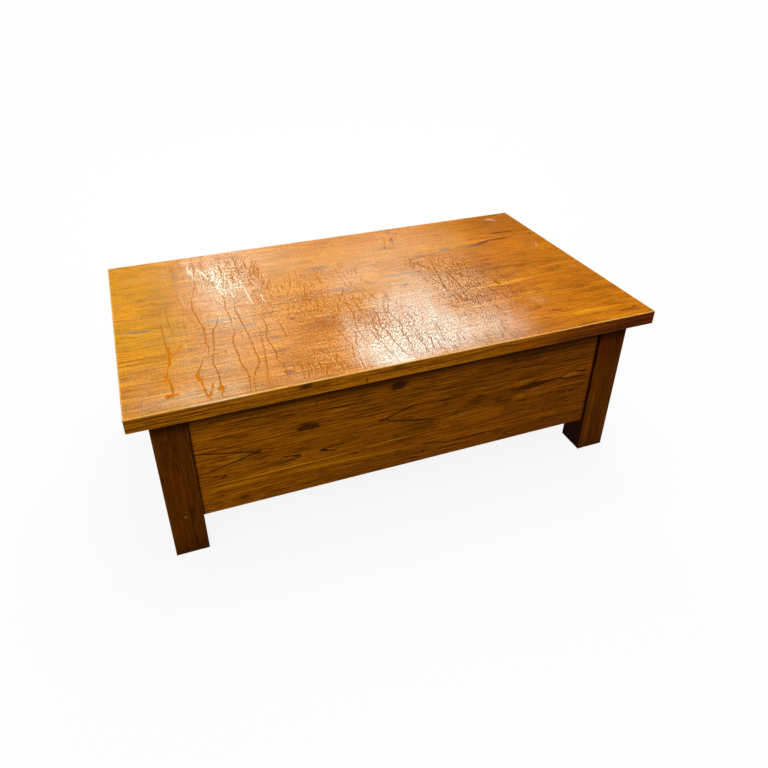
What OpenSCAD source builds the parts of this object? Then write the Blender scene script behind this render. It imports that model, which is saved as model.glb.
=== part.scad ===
// Coffee table of solid wood. An edge-glued top lies on four square legs, which deep
// panels join with twin tenons. It stands on z = 0 with the origin under its middle,
// its length runs along X, and its front looks towards -Y.

/* [Top] */
// Length of the top, along X
top_l = 1200; // [1000:5:1400]
// Width of the top, along Y
top_w = 700; // [650:5:800]
// Thickness of the top
top_t = 33; // [26:1:45]
// Height of the top's upper face above the ground
table_h = 416; // [390:1:500]
// Radius of the upper arris of the top
upper_arris_r = 2; // [0.5:0.5:4]
// Radius of the lower arris of the top
lower_arris_r = 2; // [0.5:0.5:6]
// Radius of the upright corners of the top
top_corner_r = 2.5; // [0.5:0.5:10]

/* [Boards of the top, counted from the front, the seventh takes what is left] */
// Width of the first board
board_1_w = 55; // [40:1:80]
// Width of the second board
board_2_w = 130; // [90:1:150]
// Width of the third board
board_3_w = 68; // [50:1:100]
// Width of the fourth board
board_4_w = 117; // [90:1:150]
// Width of the fifth board
board_5_w = 115; // [90:1:150]
// Width of the sixth board
board_6_w = 115; // [90:1:150]

/* [Legs] */
// Width of a leg, the same both ways
leg_w = 73; // [62:1:90]
// Distance from the legs' outer faces to the ends of the top
end_overhang = 40; // [15:1:80]
// Distance from the legs' outer faces to the front and the back of the top
side_overhang = 35; // [15:1:70]
// Radius of a leg's upright arrises
leg_arris_r = 2.5; // [0.5:0.5:6]
// Chamfer round the foot of a leg
foot_chamfer = 3; // [1:0.5:8]

/* [Panels] */
// Thickness of the panels
panel_t = 20; // [18:0.5:26]
// Distance that the panels lie behind the legs' outer faces
panel_recess = 7.5; // [3:0.5:15]
// Height of the panels' lower edges above the ground
floor_gap = 96; // [40:1:110]
// Radius of the panels' lower arrises
panel_arris_r = 1.5; // [0.5:0.5:3]

/* [Rows of staves in the panels, counted from below, the sixth takes what is left] */
// Height of the first row
row_1_h = 37; // [25:1:50]
// Height of the second row
row_2_h = 38; // [25:1:50]
// Height of the third row
row_3_h = 40; // [25:1:50]
// Height of the fourth row
row_4_h = 56; // [40:1:70]
// Height of the fifth row
row_5_h = 58; // [40:1:70]
// Place of the third row's left butt joint in the front panel, from the middle
row_3_left_butt = 75; // [-200:1:150]
// Place of the third row's right butt joint in the front panel, from the middle
row_3_right_butt = 245; // [200:1:350]
// Place of the fourth row's butt joint in the front panel, from the middle
row_4_butt = 265; // [-350:1:350]

/* [Tenons] */
// Thickness of a tenon
tenon_t = 10; // [8:0.5:12]
// Length of a tenon
tenon_l = 28; // [20:1:32]
// Height of a tenon
tenon_h = 96; // [60:1:105]
// Distance from a tenon to the nearer edge of its panel
tenon_shoulder = 18; // [10:1:26]

/* [Cross rails] */
// Width of a cross rail, along X
rail_w = 60; // [40:1:90]
// Height of a cross rail
rail_h = 25; // [18:1:32]
// Distance from the legs' outer faces to the middle of a cross rail, along X
rail_from_end = 330; // [290:5:400]
// Depth of the housings for the rails in the long panels
housing_d = 10; // [6:0.5:12]

/* [Corner blocks] */
// Reach of a corner block along each panel, from the leg
block_reach = 70; // [60:1:100]
// Thickness of a corner block where it ends on a panel
block_end = 14; // [8:1:20]
// Height of a corner block
block_h = 60; // [56:1:90]
// Wood of a block under a screw's head
block_seat = 16; // [10:1:20]
// Distance from the leg to a block's screws
block_screw_out = 45; // [35:1:50]
// Depth of a block's upper screws below the top
block_screw_high = 27; // [24:1:30]
// Distance between a block's upper and lower screws
block_screw_step = 20; // [14:1:24]

/* [Buttons] */
// Width of a button, along its panel
button_w = 45; // [30:1:55]
// Depth of a button without its tongue
button_d = 33; // [26:1:40]
// Height of a button
button_h = 20; // [19:1:26]
// Distance from a corner block to the nearest button
button_from_block = 40; // [20:1:60]
// Height of the groove that holds the tongues
groove_h = 6; // [4:0.5:7]
// Depth of the groove
groove_d = 8; // [6:0.5:9]
// Depth of the groove's upper wall below the top
groove_drop = 11; // [9:0.5:12]

/* [Screws] */
// Diameter of a screw
screw_d = 4; // [3:0.5:5]
// Diameter of a screw's head
head_d = 8; // [7:0.5:10]
// Height of a screw's head
head_h = 2.6; // [2:0.2:4]
// Length of a screw's tip
tip_l = 5; // [3:0.5:6]
// Depth of the screws in the top
top_bite = 18; // [10:1:20]
// Depth of the screws in the panels
panel_bite = 13; // [8:1:14]

/* [Clearances] */
// Clearance on each side of a tenon, a rail or a tongue
joint_gap = 0.2; // [0.1:0.05:0.5]
// Clearance beyond the end of a tenon, a rail, a tongue or a screw
end_gap = 1; // [0.5:0.5:2]
// Clearance round a screw
screw_gap = 0.1; // [0.05:0.05:0.3]
// Clearance round the head of a screw that is sunk
head_gap = 1; // [0.5:0.5:2]

/* [Hidden] */
$fn = 48;
// Reach of a cutting solid past the face that it opens
past = 5;

frame_l = top_l - 2 * end_overhang;
frame_w = top_w - 2 * side_overhang;
under_z = table_h - top_t;
panel_h = under_z - floor_gap;
long_panel_l = frame_l - 2 * leg_w;
end_panel_l = frame_w - 2 * leg_w;
// Depths behind the legs' outer faces
panel_inner = panel_recess + panel_t;
tenon_outer = panel_recess + (panel_t - tenon_t) / 2;
mortise_outer = tenon_outer - joint_gap;
mortise_t = tenon_t + 2 * joint_gap;
mortise_d = tenon_l + end_gap;
tenon_zs = [floor_gap + tenon_shoulder, under_z - tenon_shoulder - tenon_h];

board_ws = [board_1_w, board_2_w, board_3_w, board_4_w, board_5_w, board_6_w];
board_ys = [for (i = [0:7]) i < 7 ? sum_to(board_ws, i) - top_w / 2 : top_w / 2];
row_hs = [row_1_h, row_2_h, row_3_h, row_4_h, row_5_h];
row_zs = [for (i = [0:6]) i < 6 ? floor_gap + sum_to(row_hs, i) : under_z];

rail_x = frame_l / 2 - rail_from_end;
rail_l = frame_w - 2 * panel_inner + 2 * (housing_d - end_gap);

block_l = leg_w + block_reach;
block_screw_at = leg_w + block_screw_out;
block_screw_zs = [under_z - block_screw_high, under_z - block_screw_high - block_screw_step];

// A button stands clear of its panel, and its tongue's upper side bears on the groove's wall
button_gap = end_gap;
tongue_l = groove_d - end_gap + button_gap;
tongue_h = groove_h - 2 * joint_gap;
button_screw_in = panel_inner + button_gap + button_d / 2;
button_from_corner = block_l + button_from_block + button_w / 2;
long_button_xs = [button_from_corner - frame_l / 2, 0, frame_l / 2 - button_from_corner];
end_button_ys = [button_from_corner - frame_w / 2, frame_w / 2 - button_from_corner];
// Direction in which each panel faces, half the frame across it, and its buttons' places
front = [0, frame_w / 2, long_button_xs];
right = [90, frame_l / 2, end_button_ys];
back = [180, frame_w / 2, long_button_xs];
left = [-90, frame_l / 2, end_button_ys];

screw_r = screw_d / 2;
hole_r = screw_r + screw_gap;
head_r = head_d / 2;

top_color = "#c87828";
panel_color = "#6b3a0c";
leg_color = "#542808";
inner_color = "#a8703a";
screw_color = "#b8b8b4";

// Name of each corner, and the sides of X and Y that it is on
corners = [
    ["front_left", -1, -1], ["front_right", 1, -1],
    ["back_left", -1, 1], ["back_right", 1, 1]
];
// Name, row, left end and right end of each stave in the front panel
front_staves = [
    ["1", 1, -frame_l / 2, frame_l / 2],
    ["2", 2, -frame_l / 2, frame_l / 2],
    ["3_left", 3, -frame_l / 2, row_3_left_butt],
    ["3_middle", 3, row_3_left_butt, row_3_right_butt],
    ["3_right", 3, row_3_right_butt, frame_l / 2],
    ["4_left", 4, -frame_l / 2, row_4_butt],
    ["4_right", 4, row_4_butt, frame_l / 2],
    ["5", 5, -frame_l / 2, frame_l / 2],
    ["6", 6, -frame_l / 2, frame_l / 2]
];

function sum_to(v, n) = n == 0 ? 0 : v[n - 1] + sum_to(v, n - 1);
// Rectangle with one corner at the origin, its lower and its upper corners rounded
module eased_rectangle(w, h, lower_r, upper_r) {
    difference() {
        square([w, h]);
        corner_waste(lower_r);
        translate([w, 0]) mirror([1, 0]) corner_waste(lower_r);
        translate([0, h]) mirror([0, 1]) corner_waste(upper_r);
        translate([w, h]) rotate(180) corner_waste(upper_r);
    }
}

// What rounding takes away from the corner of a rectangle
module corner_waste(r) {
    difference() {
        translate([-past, -past]) square(r + past);
        translate([r, r]) circle(r);
    }
}

// Turns an outline in Y and Z into a bar along X, about the middle of its length
module along_x(length) {
    translate([-length / 2, 0, 0]) rotate([90, 0, 90]) linear_extrude(length) children();
}

// Turns an outline in X and Z into a bar along Y, about the middle of its length
module along_y(length) {
    translate([0, length / 2, 0]) rotate([90, 0, 0]) linear_extrude(length) children();
}

// Puts a piece at a corner of the frame: its origin is the leg's outer edge, X and Y run inwards
module at_corner(side_x, side_y) {
    translate([side_x * frame_l / 2, side_y * frame_w / 2, 0])
        mirror([side_x > 0 ? 1 : 0, 0, 0])
            mirror([0, side_y > 0 ? 1 : 0, 0])
                children();
}

// Puts a piece on a side of the frame: its origin is the middle of the legs' outer faces,
// X runs along the panel and Y runs inwards
module at_side(side) {
    rotate([0, 0, side[0]]) translate([0, -side[1], 0]) children();
}

// Draws its children as they are, and again with X and Y changed over
module both_ways() {
    children();
    mirror([1, -1, 0]) children();
}

// Screw that points along +Z, the underside of its head on z = 0
module screw(length) {
    slot_w = head_h / 3;
    difference() {
        rotate_extrude() polygon([
            [0, -head_h], [head_r * 0.6, -head_h], [head_r, -head_h * 0.4], [head_r, 0],
            [screw_r, 0], [screw_r, length - tip_l], [0, length]
        ]);
        for (a = [0, 90]) rotate([0, 0, a])
            translate([-head_r * 0.55, -slot_w / 2, -head_h - past])
                cube([head_r * 1.1, slot_w, head_h / 2 + past]);
    }
}

// Hole for a screw that points along +Z, open at its start, with room beyond the tip
module screw_hole(length) {
    translate([0, 0, -past]) cylinder(r = hole_r, h = length + end_gap + past);
}

// Places of the screws that come up through the cross rails, under the middle of each board
module at_rail_screws() {
    for (x = [-rail_x, rail_x], i = [1:5])
        translate([x, (board_ys[i] + board_ys[i + 1]) / 2, under_z - rail_h]) children();
}

// Places of the screws that come up through the buttons
module at_button_screws() {
    for (side = [front, right, back, left]) at_side(side)
        for (x = side[2]) translate([x, button_screw_in, under_z - button_h]) children();
}

// Places of the screws in one corner block: the head's seat, pointing along -Y into the panel
module at_block_screws() {
    both_ways() for (z = block_screw_zs)
        translate([block_screw_at, panel_inner + block_seat, z]) rotate([90, 0, 0]) children();
}

// The whole top before it is divided into its boards
module top_slab() {
    difference() {
        intersection() {
            translate([0, -top_w / 2, under_z])
                along_x(top_l) eased_rectangle(top_w, top_t, lower_arris_r, upper_arris_r);
            translate([-top_l / 2, 0, under_z])
                along_y(top_w) eased_rectangle(top_l, top_t, lower_arris_r, upper_arris_r);
            translate([-top_l / 2, -top_w / 2, under_z])
                linear_extrude(top_t) eased_rectangle(top_l, top_w, top_corner_r, top_corner_r);
        }
        at_rail_screws() screw_hole(rail_h + top_bite);
        at_button_screws() screw_hole(button_h + top_bite);
    }
}

module top_board(i) {
    color(top_color) intersection() {
        top_slab();
        translate([-top_l / 2, board_ys[i - 1], under_z])
            cube([top_l, board_ys[i] - board_ys[i - 1], top_t]);
    }
}

// Leg at the origin of its corner, with the mortises for both panels
module leg(side_x, side_y) {
    foot = [
        [foot_chamfer, 0], [leg_w - foot_chamfer, 0], [leg_w, foot_chamfer],
        [leg_w, under_z], [0, under_z], [0, foot_chamfer]
    ];
    color(leg_color) at_corner(side_x, side_y) difference() {
        intersection() {
            linear_extrude(under_z) eased_rectangle(leg_w, leg_w, leg_arris_r, leg_arris_r);
            translate([0, leg_w / 2, 0]) along_y(leg_w) polygon(foot);
            translate([leg_w / 2, 0, 0]) along_x(leg_w) polygon(foot);
        }
        both_ways() for (z = tenon_zs)
            translate([leg_w - mortise_d, mortise_outer, z - joint_gap])
                cube([mortise_d + past, mortise_t, tenon_h + 2 * joint_gap]);
    }
}

// One panel with its tenons, on its side of the frame, before it is divided into staves
module panel(side, length, housed) {
    at_side(side) difference() {
        union() {
            translate([0, panel_recess, floor_gap])
                along_x(length) eased_panel_section();
            for (z = tenon_zs) translate([-length / 2 - tenon_l, tenon_outer, z])
                cube([length + 2 * tenon_l, tenon_t, tenon_h]);
        }
        // Groove for the buttons' tongues
        translate([-length / 2 - past, panel_inner - groove_d, under_z - groove_drop - groove_h])
            cube([length + 2 * past, groove_d + past, groove_h]);
        // Housings for the cross rails
        if (housed) for (x = [-rail_x, rail_x])
            translate([x - rail_w / 2 - joint_gap, panel_inner - housing_d, under_z - rail_h])
                cube([rail_w + 2 * joint_gap, housing_d + past, rail_h + past]);
        // Holes for the corner blocks' screws
        for (turn = [-1, 1], z = block_screw_zs)
            translate([turn * (length / 2 - block_screw_out), panel_inner, z])
                rotate([90, 0, 0]) screw_hole(panel_bite);
    }
}

// Section of a panel in Y and Z, rounded along its lower edges alone
module eased_panel_section() {
    difference() {
        square([panel_t, panel_h]);
        corner_waste(panel_arris_r);
        translate([panel_t, 0]) mirror([1, 0]) corner_waste(panel_arris_r);
    }
}

// Space of one row of staves along a side, from one place along it to another
module row_space(side, row, from, to) {
    at_side(side) translate([from, 0, row_zs[row - 1]])
        cube([to - from, leg_w, row_zs[row] - row_zs[row - 1]]);
}

module front_stave(stave) {
    color(panel_color) intersection() {
        panel(front, long_panel_l, true);
        row_space(front, stave[1], stave[2], stave[3]);
    }
}

module back_stave(row) {
    color(panel_color) intersection() {
        panel(back, long_panel_l, true);
        row_space(back, row, -frame_l / 2, frame_l / 2);
    }
}

module end_stave(side, row) {
    color(panel_color) intersection() {
        panel(side, end_panel_l, false);
        row_space(side, row, -frame_w / 2, frame_w / 2);
    }
}

module cross_rail(side_x) {
    color(inner_color) difference() {
        translate([side_x * rail_x - rail_w / 2, -rail_l / 2, under_z - rail_h])
            cube([rail_w, rail_l, rail_h]);
        at_rail_screws() screw_hole(rail_h + past);
    }
}

// Block behind a leg, notched round the leg's inner edge, with pockets for its screws
module corner_block(side_x, side_y) {
    notch = leg_w + joint_gap;
    outline = [
        [notch, panel_inner], [block_l, panel_inner], [block_l, panel_inner + block_end],
        [panel_inner + block_end, block_l], [panel_inner, block_l], [panel_inner, notch],
        [notch, notch]
    ];
    color(inner_color) at_corner(side_x, side_y) difference() {
        translate([0, 0, under_z - block_h]) linear_extrude(block_h) polygon(outline);
        at_block_screws() {
            screw_hole(block_seat + past);
            translate([0, 0, -block_l]) cylinder(r = head_r + head_gap, h = block_l);
        }
    }
}

module top_buttons() {
    color(inner_color) difference() {
        for (side = [front, right, back, left]) at_side(side) for (x = side[2]) {
            translate([x - button_w / 2, panel_inner + button_gap, under_z - button_h])
                cube([button_w, button_d, button_h]);
            translate([
                x - button_w / 2,
                panel_inner + button_gap - tongue_l,
                under_z - groove_drop - tongue_h
            ])
                cube([button_w, tongue_l + button_d / 2, tongue_h]);
        }
        at_button_screws() screw_hole(button_h + past);
    }
}

module button_screws() {
    color(screw_color) at_button_screws() screw(button_h + top_bite);
}

module rail_screws() {
    color(screw_color) at_rail_screws() screw(rail_h + top_bite);
}

module corner_block_screws() {
    color(screw_color) for (c = corners) at_corner(c[1], c[2])
        at_block_screws() screw(block_seat + panel_bite);
}

for (i = [1:7]) top_board(i);
for (c = corners) leg(c[1], c[2]);
for (s = front_staves) front_stave(s);
for (i = [1:6]) back_stave(i);
for (i = [1:6]) end_stave(left, i);
for (i = [1:6]) end_stave(right, i);
cross_rail(-1);  // cross_rail_left
cross_rail(1);  // cross_rail_right
for (c = corners)
    corner_block(c[1], c[2]);
top_buttons();
button_screws();
rail_screws();
corner_block_screws();
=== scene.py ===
import math
import random

import bmesh
import bpy
import numpy as np
from mathutils import Matrix, Vector
from mathutils.geometry import delaunay_2d_cdt


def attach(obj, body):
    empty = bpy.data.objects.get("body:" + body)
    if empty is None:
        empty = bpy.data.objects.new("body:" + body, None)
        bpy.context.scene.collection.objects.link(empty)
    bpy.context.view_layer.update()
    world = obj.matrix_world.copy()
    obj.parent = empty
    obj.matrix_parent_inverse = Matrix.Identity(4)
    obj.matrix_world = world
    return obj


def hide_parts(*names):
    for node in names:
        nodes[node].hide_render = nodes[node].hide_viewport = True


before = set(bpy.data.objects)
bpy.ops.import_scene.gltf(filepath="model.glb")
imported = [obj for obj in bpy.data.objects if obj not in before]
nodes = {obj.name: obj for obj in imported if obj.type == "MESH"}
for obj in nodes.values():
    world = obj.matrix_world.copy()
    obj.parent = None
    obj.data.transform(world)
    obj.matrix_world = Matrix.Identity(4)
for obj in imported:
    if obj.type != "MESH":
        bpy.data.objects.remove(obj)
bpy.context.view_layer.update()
scene = bpy.context.scene

MM = 0.001

# The table's main faces, in metres
TOP_FACE = 0.416
TOP_END = 0.600
TOP_SIDE = 0.350
PANEL_FRONT = 0.3075
PANEL_END = 0.5525
LEG_END = 0.560
LEG_SIDE = 0.315
LEG_W = 0.073

# Camera: where the photographer stood and how the lens looked
SENSOR = 36.0
PHOTO_SIDE = 768
FOCAL_PX = 673.23
PRINCIPAL_X = 368.36
PRINCIPAL_Y = 357.53
EYE = Vector((-0.5099, -1.4260, 1.1745))
RIGHT = Vector((0.93881303, -0.34440216, -0.00415229))
DOWN = Vector((-0.18801608, -0.5023415, -0.84398043))
FORWARD = Vector((0.28858281, 0.79312053, -0.53635789))


def make_camera():
    data = bpy.data.cameras.new("camera")
    data.sensor_width = SENSOR
    data.lens = FOCAL_PX / PHOTO_SIDE * SENSOR
    data.shift_x = 0.5 - PRINCIPAL_X / PHOTO_SIDE
    data.shift_y = PRINCIPAL_Y / PHOTO_SIDE - 0.5
    data.clip_start = 0.05
    data.clip_end = 200.0
    camera = bpy.data.objects.new("camera", data)
    turn = Matrix((RIGHT, -DOWN, -FORWARD)).transposed()
    camera.matrix_world = Matrix.Translation(EYE) @ turn.to_4x4()
    scene.collection.objects.link(camera)
    scene.camera = camera


make_camera()


# Shader graphs
class Graph:
    """Short calls that add shader nodes. Each returns a socket that the next call takes."""

    def __init__(self, tree):
        self.tree = tree

    def node(self, kind, inputs=None, **settings):
        made = self.tree.nodes.new("ShaderNode" + kind)
        for key, value in settings.items():
            setattr(made, key, value)
        for key, value in (inputs or {}).items():
            self.feed(made.inputs[key], value)
        return made

    def feed(self, socket, value):
        if isinstance(value, bpy.types.NodeSocket):
            self.tree.links.new(value, socket)
        elif socket.type == "RGBA" and len(value) == 3:
            socket.default_value = (*value, 1.0)
        else:
            socket.default_value = value

    def math(self, operation, *values, clamp=False):
        inputs = dict(enumerate(values))
        return self.node("Math", inputs, operation=operation, use_clamp=clamp).outputs[0]

    def add(self, a, b):
        return self.math("ADD", a, b)

    def sub(self, a, b):
        return self.math("SUBTRACT", a, b)

    def mul(self, a, b):
        return self.math("MULTIPLY", a, b)

    def div(self, a, b):
        return self.math("DIVIDE", a, b)

    def muladd(self, value, factor, offset):
        return self.math("MULTIPLY_ADD", value, factor, offset)

    def lower(self, a, b):
        return self.math("MINIMUM", a, b)

    def higher(self, a, b):
        return self.math("MAXIMUM", a, b)

    def absolute(self, a):
        return self.math("ABSOLUTE", a)

    def root(self, a):
        return self.math("SQRT", a)

    def vector(self, operation, a, b):
        return self.node("VectorMath", {0: a, 1: b}, operation=operation).outputs[0]

    def join(self, x, y, z):
        return self.node("CombineXYZ", {0: x, 1: y, 2: z}).outputs[0]

    def split(self, vector):
        return self.node("SeparateXYZ", {0: vector}).outputs

    def noise(self, vector, stretch=(1, 1, 1), detail=2.0, roughness=0.5, distortion=0.0):
        placed = self.vector("MULTIPLY", vector, stretch)
        inputs = {
            "Vector": placed,
            "Scale": 1.0,
            "Detail": detail,
            "Roughness": roughness,
            "Distortion": distortion,
        }
        return self.node("TexNoise", inputs).outputs[0]

    def ease(self, value, low, high, start=0.0, end=1.0):
        inputs = {0: value, 1: low, 2: high, 3: start, 4: end}
        return self.node("MapRange", inputs, interpolation_type="SMOOTHSTEP").outputs[0]

    def mix(self, factor, a, b, blend="MIX"):
        made = self.node("Mix", data_type="RGBA", blend_type=blend)
        self.feed(made.inputs[0], factor)
        self.feed(made.inputs[6], a)
        self.feed(made.inputs[7], b)
        return made.outputs[2]

    def tint(self, factor, colour, filtered):
        """The colour as seen through a filter, by a factor from 0 to 1."""
        return self.mix(factor, colour, filtered, "MULTIPLY")

    def shade(self, factor, colour):
        """The colour made brighter or darker by a factor that varies over the surface."""
        return self.node("VectorMath", {0: colour, 3: factor}, operation="SCALE").outputs[0]

    def spot(self, place, centre, size, angle=0.0):
        """1 at the middle of an ellipse on the face, 0 at its edge. Metres and degrees."""
        inputs = {
            "Vector": place,
            "Location": (centre[0], centre[1], 0.0),
            "Rotation": (0.0, 0.0, math.radians(angle)),
            "Scale": (size[0], size[1], 1000.0),
        }
        placed = self.node("Mapping", inputs, vector_type="TEXTURE").outputs[0]
        return self.node("TexGradient", {0: placed}, gradient_type="SPHERICAL").outputs[1]

    def wander(self, place, scale, reach):
        """A small uneven shift of a place, by up to half the reach either way."""
        noise = self.node("TexNoise", {"Vector": place, "Scale": scale, "Detail": 3.0}).outputs[1]
        return self.vector("MULTIPLY", self.vector("SUBTRACT", noise, (0.5, 0.5, 0.5)), reach)

    def marks(self, place, marks):
        """The sum of soft spots in mm: x, y, half length, half width, strength, and degrees if turned."""
        total = 0.0
        for x, y, long, wide, strength, *angle in marks:
            spot = self.spot(place, (x * MM, y * MM), (long * MM, wide * MM), *angle)
            total = self.muladd(spot, strength, total)
        return total


def figure_group():
    """The figure of sawn wood as a solid pattern: growth rings round a pith beside or below the face."""
    tree = bpy.data.node_groups.new("wood_figure", "ShaderNodeTree")
    face = tree.interface
    face.new_socket("Place", in_out="INPUT", socket_type="NodeSocketVector")
    for name in ("Seed", "Pith side", "Pith depth", "Spacing", "Sway", "Waver"):
        face.new_socket(name, in_out="INPUT", socket_type="NodeSocketFloat")
    for name in ("Tone", "Line", "Fibre", "Pore", "Height"):
        face.new_socket(name, in_out="OUTPUT", socket_type="NodeSocketFloat")
    g = Graph(tree)
    into = tree.nodes.new("NodeGroupInput").outputs
    out = tree.nodes.new("NodeGroupOutput").inputs
    place, seed, side, depth, spacing, sway, shake = into[:7]
    shift = g.join(g.mul(seed, 3.17), g.mul(seed, 1.31), g.mul(seed, 2.23))
    moved = g.vector("ADD", place, shift)
    _, across, inward = g.split(place)

    slow = g.sub(g.noise(moved, (1.6, 5.0, 5.0), 1.5), 0.5)
    waver = g.mul(g.sub(g.noise(moved, (8.0, 45.0, 45.0), 2.0), 0.5), shake)
    beside = g.add(g.sub(across, side), g.add(g.mul(slow, sway), waver))
    below = g.add(g.sub(depth, inward), g.mul(waver, 0.7))
    radius = g.root(g.muladd(beside, beside, g.mul(below, below)))

    drift = g.sub(g.noise(moved, (3.0, 20.0, 20.0), 1.0), 0.5)
    phase = g.muladd(drift, 0.7, g.div(radius, spacing))
    ring = g.math("FLOOR", phase)
    part = g.sub(phase, ring)
    chance = g.node("TexWhiteNoise", {1: g.muladd(seed, 13.7, ring)}, noise_dimensions="1D")
    strength = g.muladd(g.math("POWER", chance.outputs[0], 1.8), 0.9, 0.10)
    late = g.mul(g.ease(part, 0.30, 0.92), g.ease(part, 0.93, 1.0, 1.0, 0.0))
    broken = g.ease(g.noise(moved, (4.0, 60.0, 60.0), 2.0), 0.30, 0.62, 0.25, 1.0)
    line = g.mul(g.mul(late, strength), broken)

    band_place = g.join(g.mul(radius, 85.0), g.mul(seed, 5.0), 0.0)
    bands = g.noise(band_place, (1, 1, 1), 1.0)
    streaks = g.noise(moved, (1.8, 55.0, 55.0), 3.0, 0.6)
    clouds = g.noise(moved, (3.2, 9.0, 9.0), 2.0)
    tone = g.muladd(bands, 0.50, g.muladd(streaks, 0.75, g.mul(clouds, 0.45)))
    tone = g.muladd(tone, 1.9, -1.12)

    fine = g.noise(moved, (12.0, 500.0, 500.0), 1.0, 0.6)
    coarse = g.noise(moved, (5.0, 230.0, 230.0), 1.0, 0.6)
    fibre = g.muladd(coarse, 0.36, g.mul(fine, 0.64))
    vessels = g.noise(moved, (70.0, 1300.0, 1300.0), 1.0)
    patch = g.noise(moved, (9.0, 60.0, 60.0), 1.0)
    dashes = g.noise(moved, (22.0, 380.0, 380.0), 1.0)
    pore = g.ease(g.muladd(patch, 0.25, vessels), 0.70, 0.82)
    pore = g.higher(pore, g.ease(g.muladd(patch, 0.25, dashes), 0.69, 0.80))

    height = g.muladd(pore, -1.0, g.muladd(fibre, 0.6, g.mul(line, -0.5)))
    for socket, value in zip(out, (tone, line, fibre, pore, height)):
        g.feed(socket, value)
    return tree


FIGURE = figure_group()


def figure(g, place, seed, side, depth, spacing, sway, waver=0.0042):
    made = g.node("Group", node_tree=FIGURE)
    for socket, value in zip(made.inputs, (place, seed, side, depth, spacing, sway, waver)):
        g.feed(socket, value)
    return dict(zip(("tone", "line", "fibre", "pore", "height"), made.outputs))


def stained(g, parts, colours, line_share=0.75, fibre_share=0.35, pore_share=0.45):
    """Stained wood: light, middle and dark by tone, then darker lines, fibres and pores."""
    light, middle, dark = colours
    tone = parts["tone"]
    colour = g.mix(g.ease(tone, 0.45, 1.05), middle, light)
    colour = g.mix(g.ease(tone, 0.45, -0.15), colour, dark)
    lined = g.muladd(parts["line"], -line_share, 1.0)
    fibres = g.muladd(g.sub(parts["fibre"], 0.5), fibre_share, 1.0)
    pores = g.muladd(parts["pore"], -pore_share, 1.0)
    return g.shade(g.mul(lined, g.mul(fibres, pores)), colour)


def new_material(name):
    material = bpy.data.materials.new(name)
    material.use_nodes = True
    material.node_tree.nodes.clear()
    return material, Graph(material.node_tree)


def surface(g, colour, height, bump, roughness, specular=0.5, tint=(1, 1, 1), metallic=0.0, distance=0.001):
    """The last nodes of a material: a bump and a principled shader."""
    normal = g.node("Bump", {"Strength": bump, "Distance": distance, "Height": height})
    inputs = {
        "Base Color": colour,
        "Roughness": roughness,
        "Metallic": metallic,
        "Specular IOR Level": specular,
        "Specular Tint": tint,
        "Normal": normal.outputs[0],
    }
    shader = g.node("BsdfPrincipled", inputs)
    output = g.node("OutputMaterial")
    g.tree.links.new(shader.outputs[0], output.inputs[0])


def object_place(g):
    return g.node("TexCoord").outputs["Object"]


def dress(node, material):
    """Puts one material on every slot of a frame node."""
    for slot in node.material_slots:
        slot.material = material


# The top: seven boards side by side
BOARD_EDGES = (-350, -295, -165, -97, 20, 135, 250, 350)

# Each board: seed, side and depth of the pith, ring spacing, sway (m), brightness, redness
BOARDS = (
    (1.3, -0.42, 0.035, 0.0052, 0.016, 0.97, 0.00),
    (2.9, -0.23, 0.030, 0.0068, 0.030, 1.02, 0.02),
    (4.1, -0.02, 0.050, 0.0046, 0.012, 0.95, 0.05),
    (5.7, -0.05, 0.024, 0.0072, 0.028, 1.04, -0.02),
    (7.2, 0.19, 0.045, 0.0055, 0.018, 0.99, 0.03),
    (8.8, 0.20, 0.028, 0.0064, 0.026, 1.03, 0.00),
    (9.6, 0.43, 0.040, 0.0050, 0.014, 0.96, 0.04),
)

TOP_LIGHT = (0.780, 0.318, 0.010)
TOP_MIDDLE = (0.640, 0.228, 0.004)
TOP_DARK = (0.430, 0.132, 0.002)
TOP_AMBER = (0.735, 0.318, 0.003)
TOP_DEEP = (0.570, 0.160, 0.002)
GREY_STAIN = (0.300, 0.165, 0.085)
SPOT_STAIN = (0.190, 0.042, 0.004)
PALE_STAIN_AND_GLINT = (0.800, 0.480, 0.230)
GOLD_STAIN = (0.800, 0.335, 0.008)
MILK_AND_GLARE = (0.800, 0.740, 0.640)
MILK_AND_GLARE_LEFT = (0.840, 0.740, 0.530)
WORN_ARRIS_HIGHLIGHT = (1.00, 0.58, 0.14)
BLEACHED_ARRIS_GLINT = (0.92, 0.80, 0.60)
EDGE_GRAIN = (0.055, 0.014, 0.001)

# Filters that the wood is seen through: crazed and bare lacquer, the edges, and the red right end
CRAZED_FILTER = (0.56, 0.37, 0.15)
BARE_FILTER = (1.01, 0.84, 0.32)
EDGE_FILTER = (0.87, 0.77, 0.80)
RED_END_FILTER = (0.46, 0.25, 0.11)

# How fine the uneven edges of the marks are
MARK_GRIT = 55.0

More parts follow.
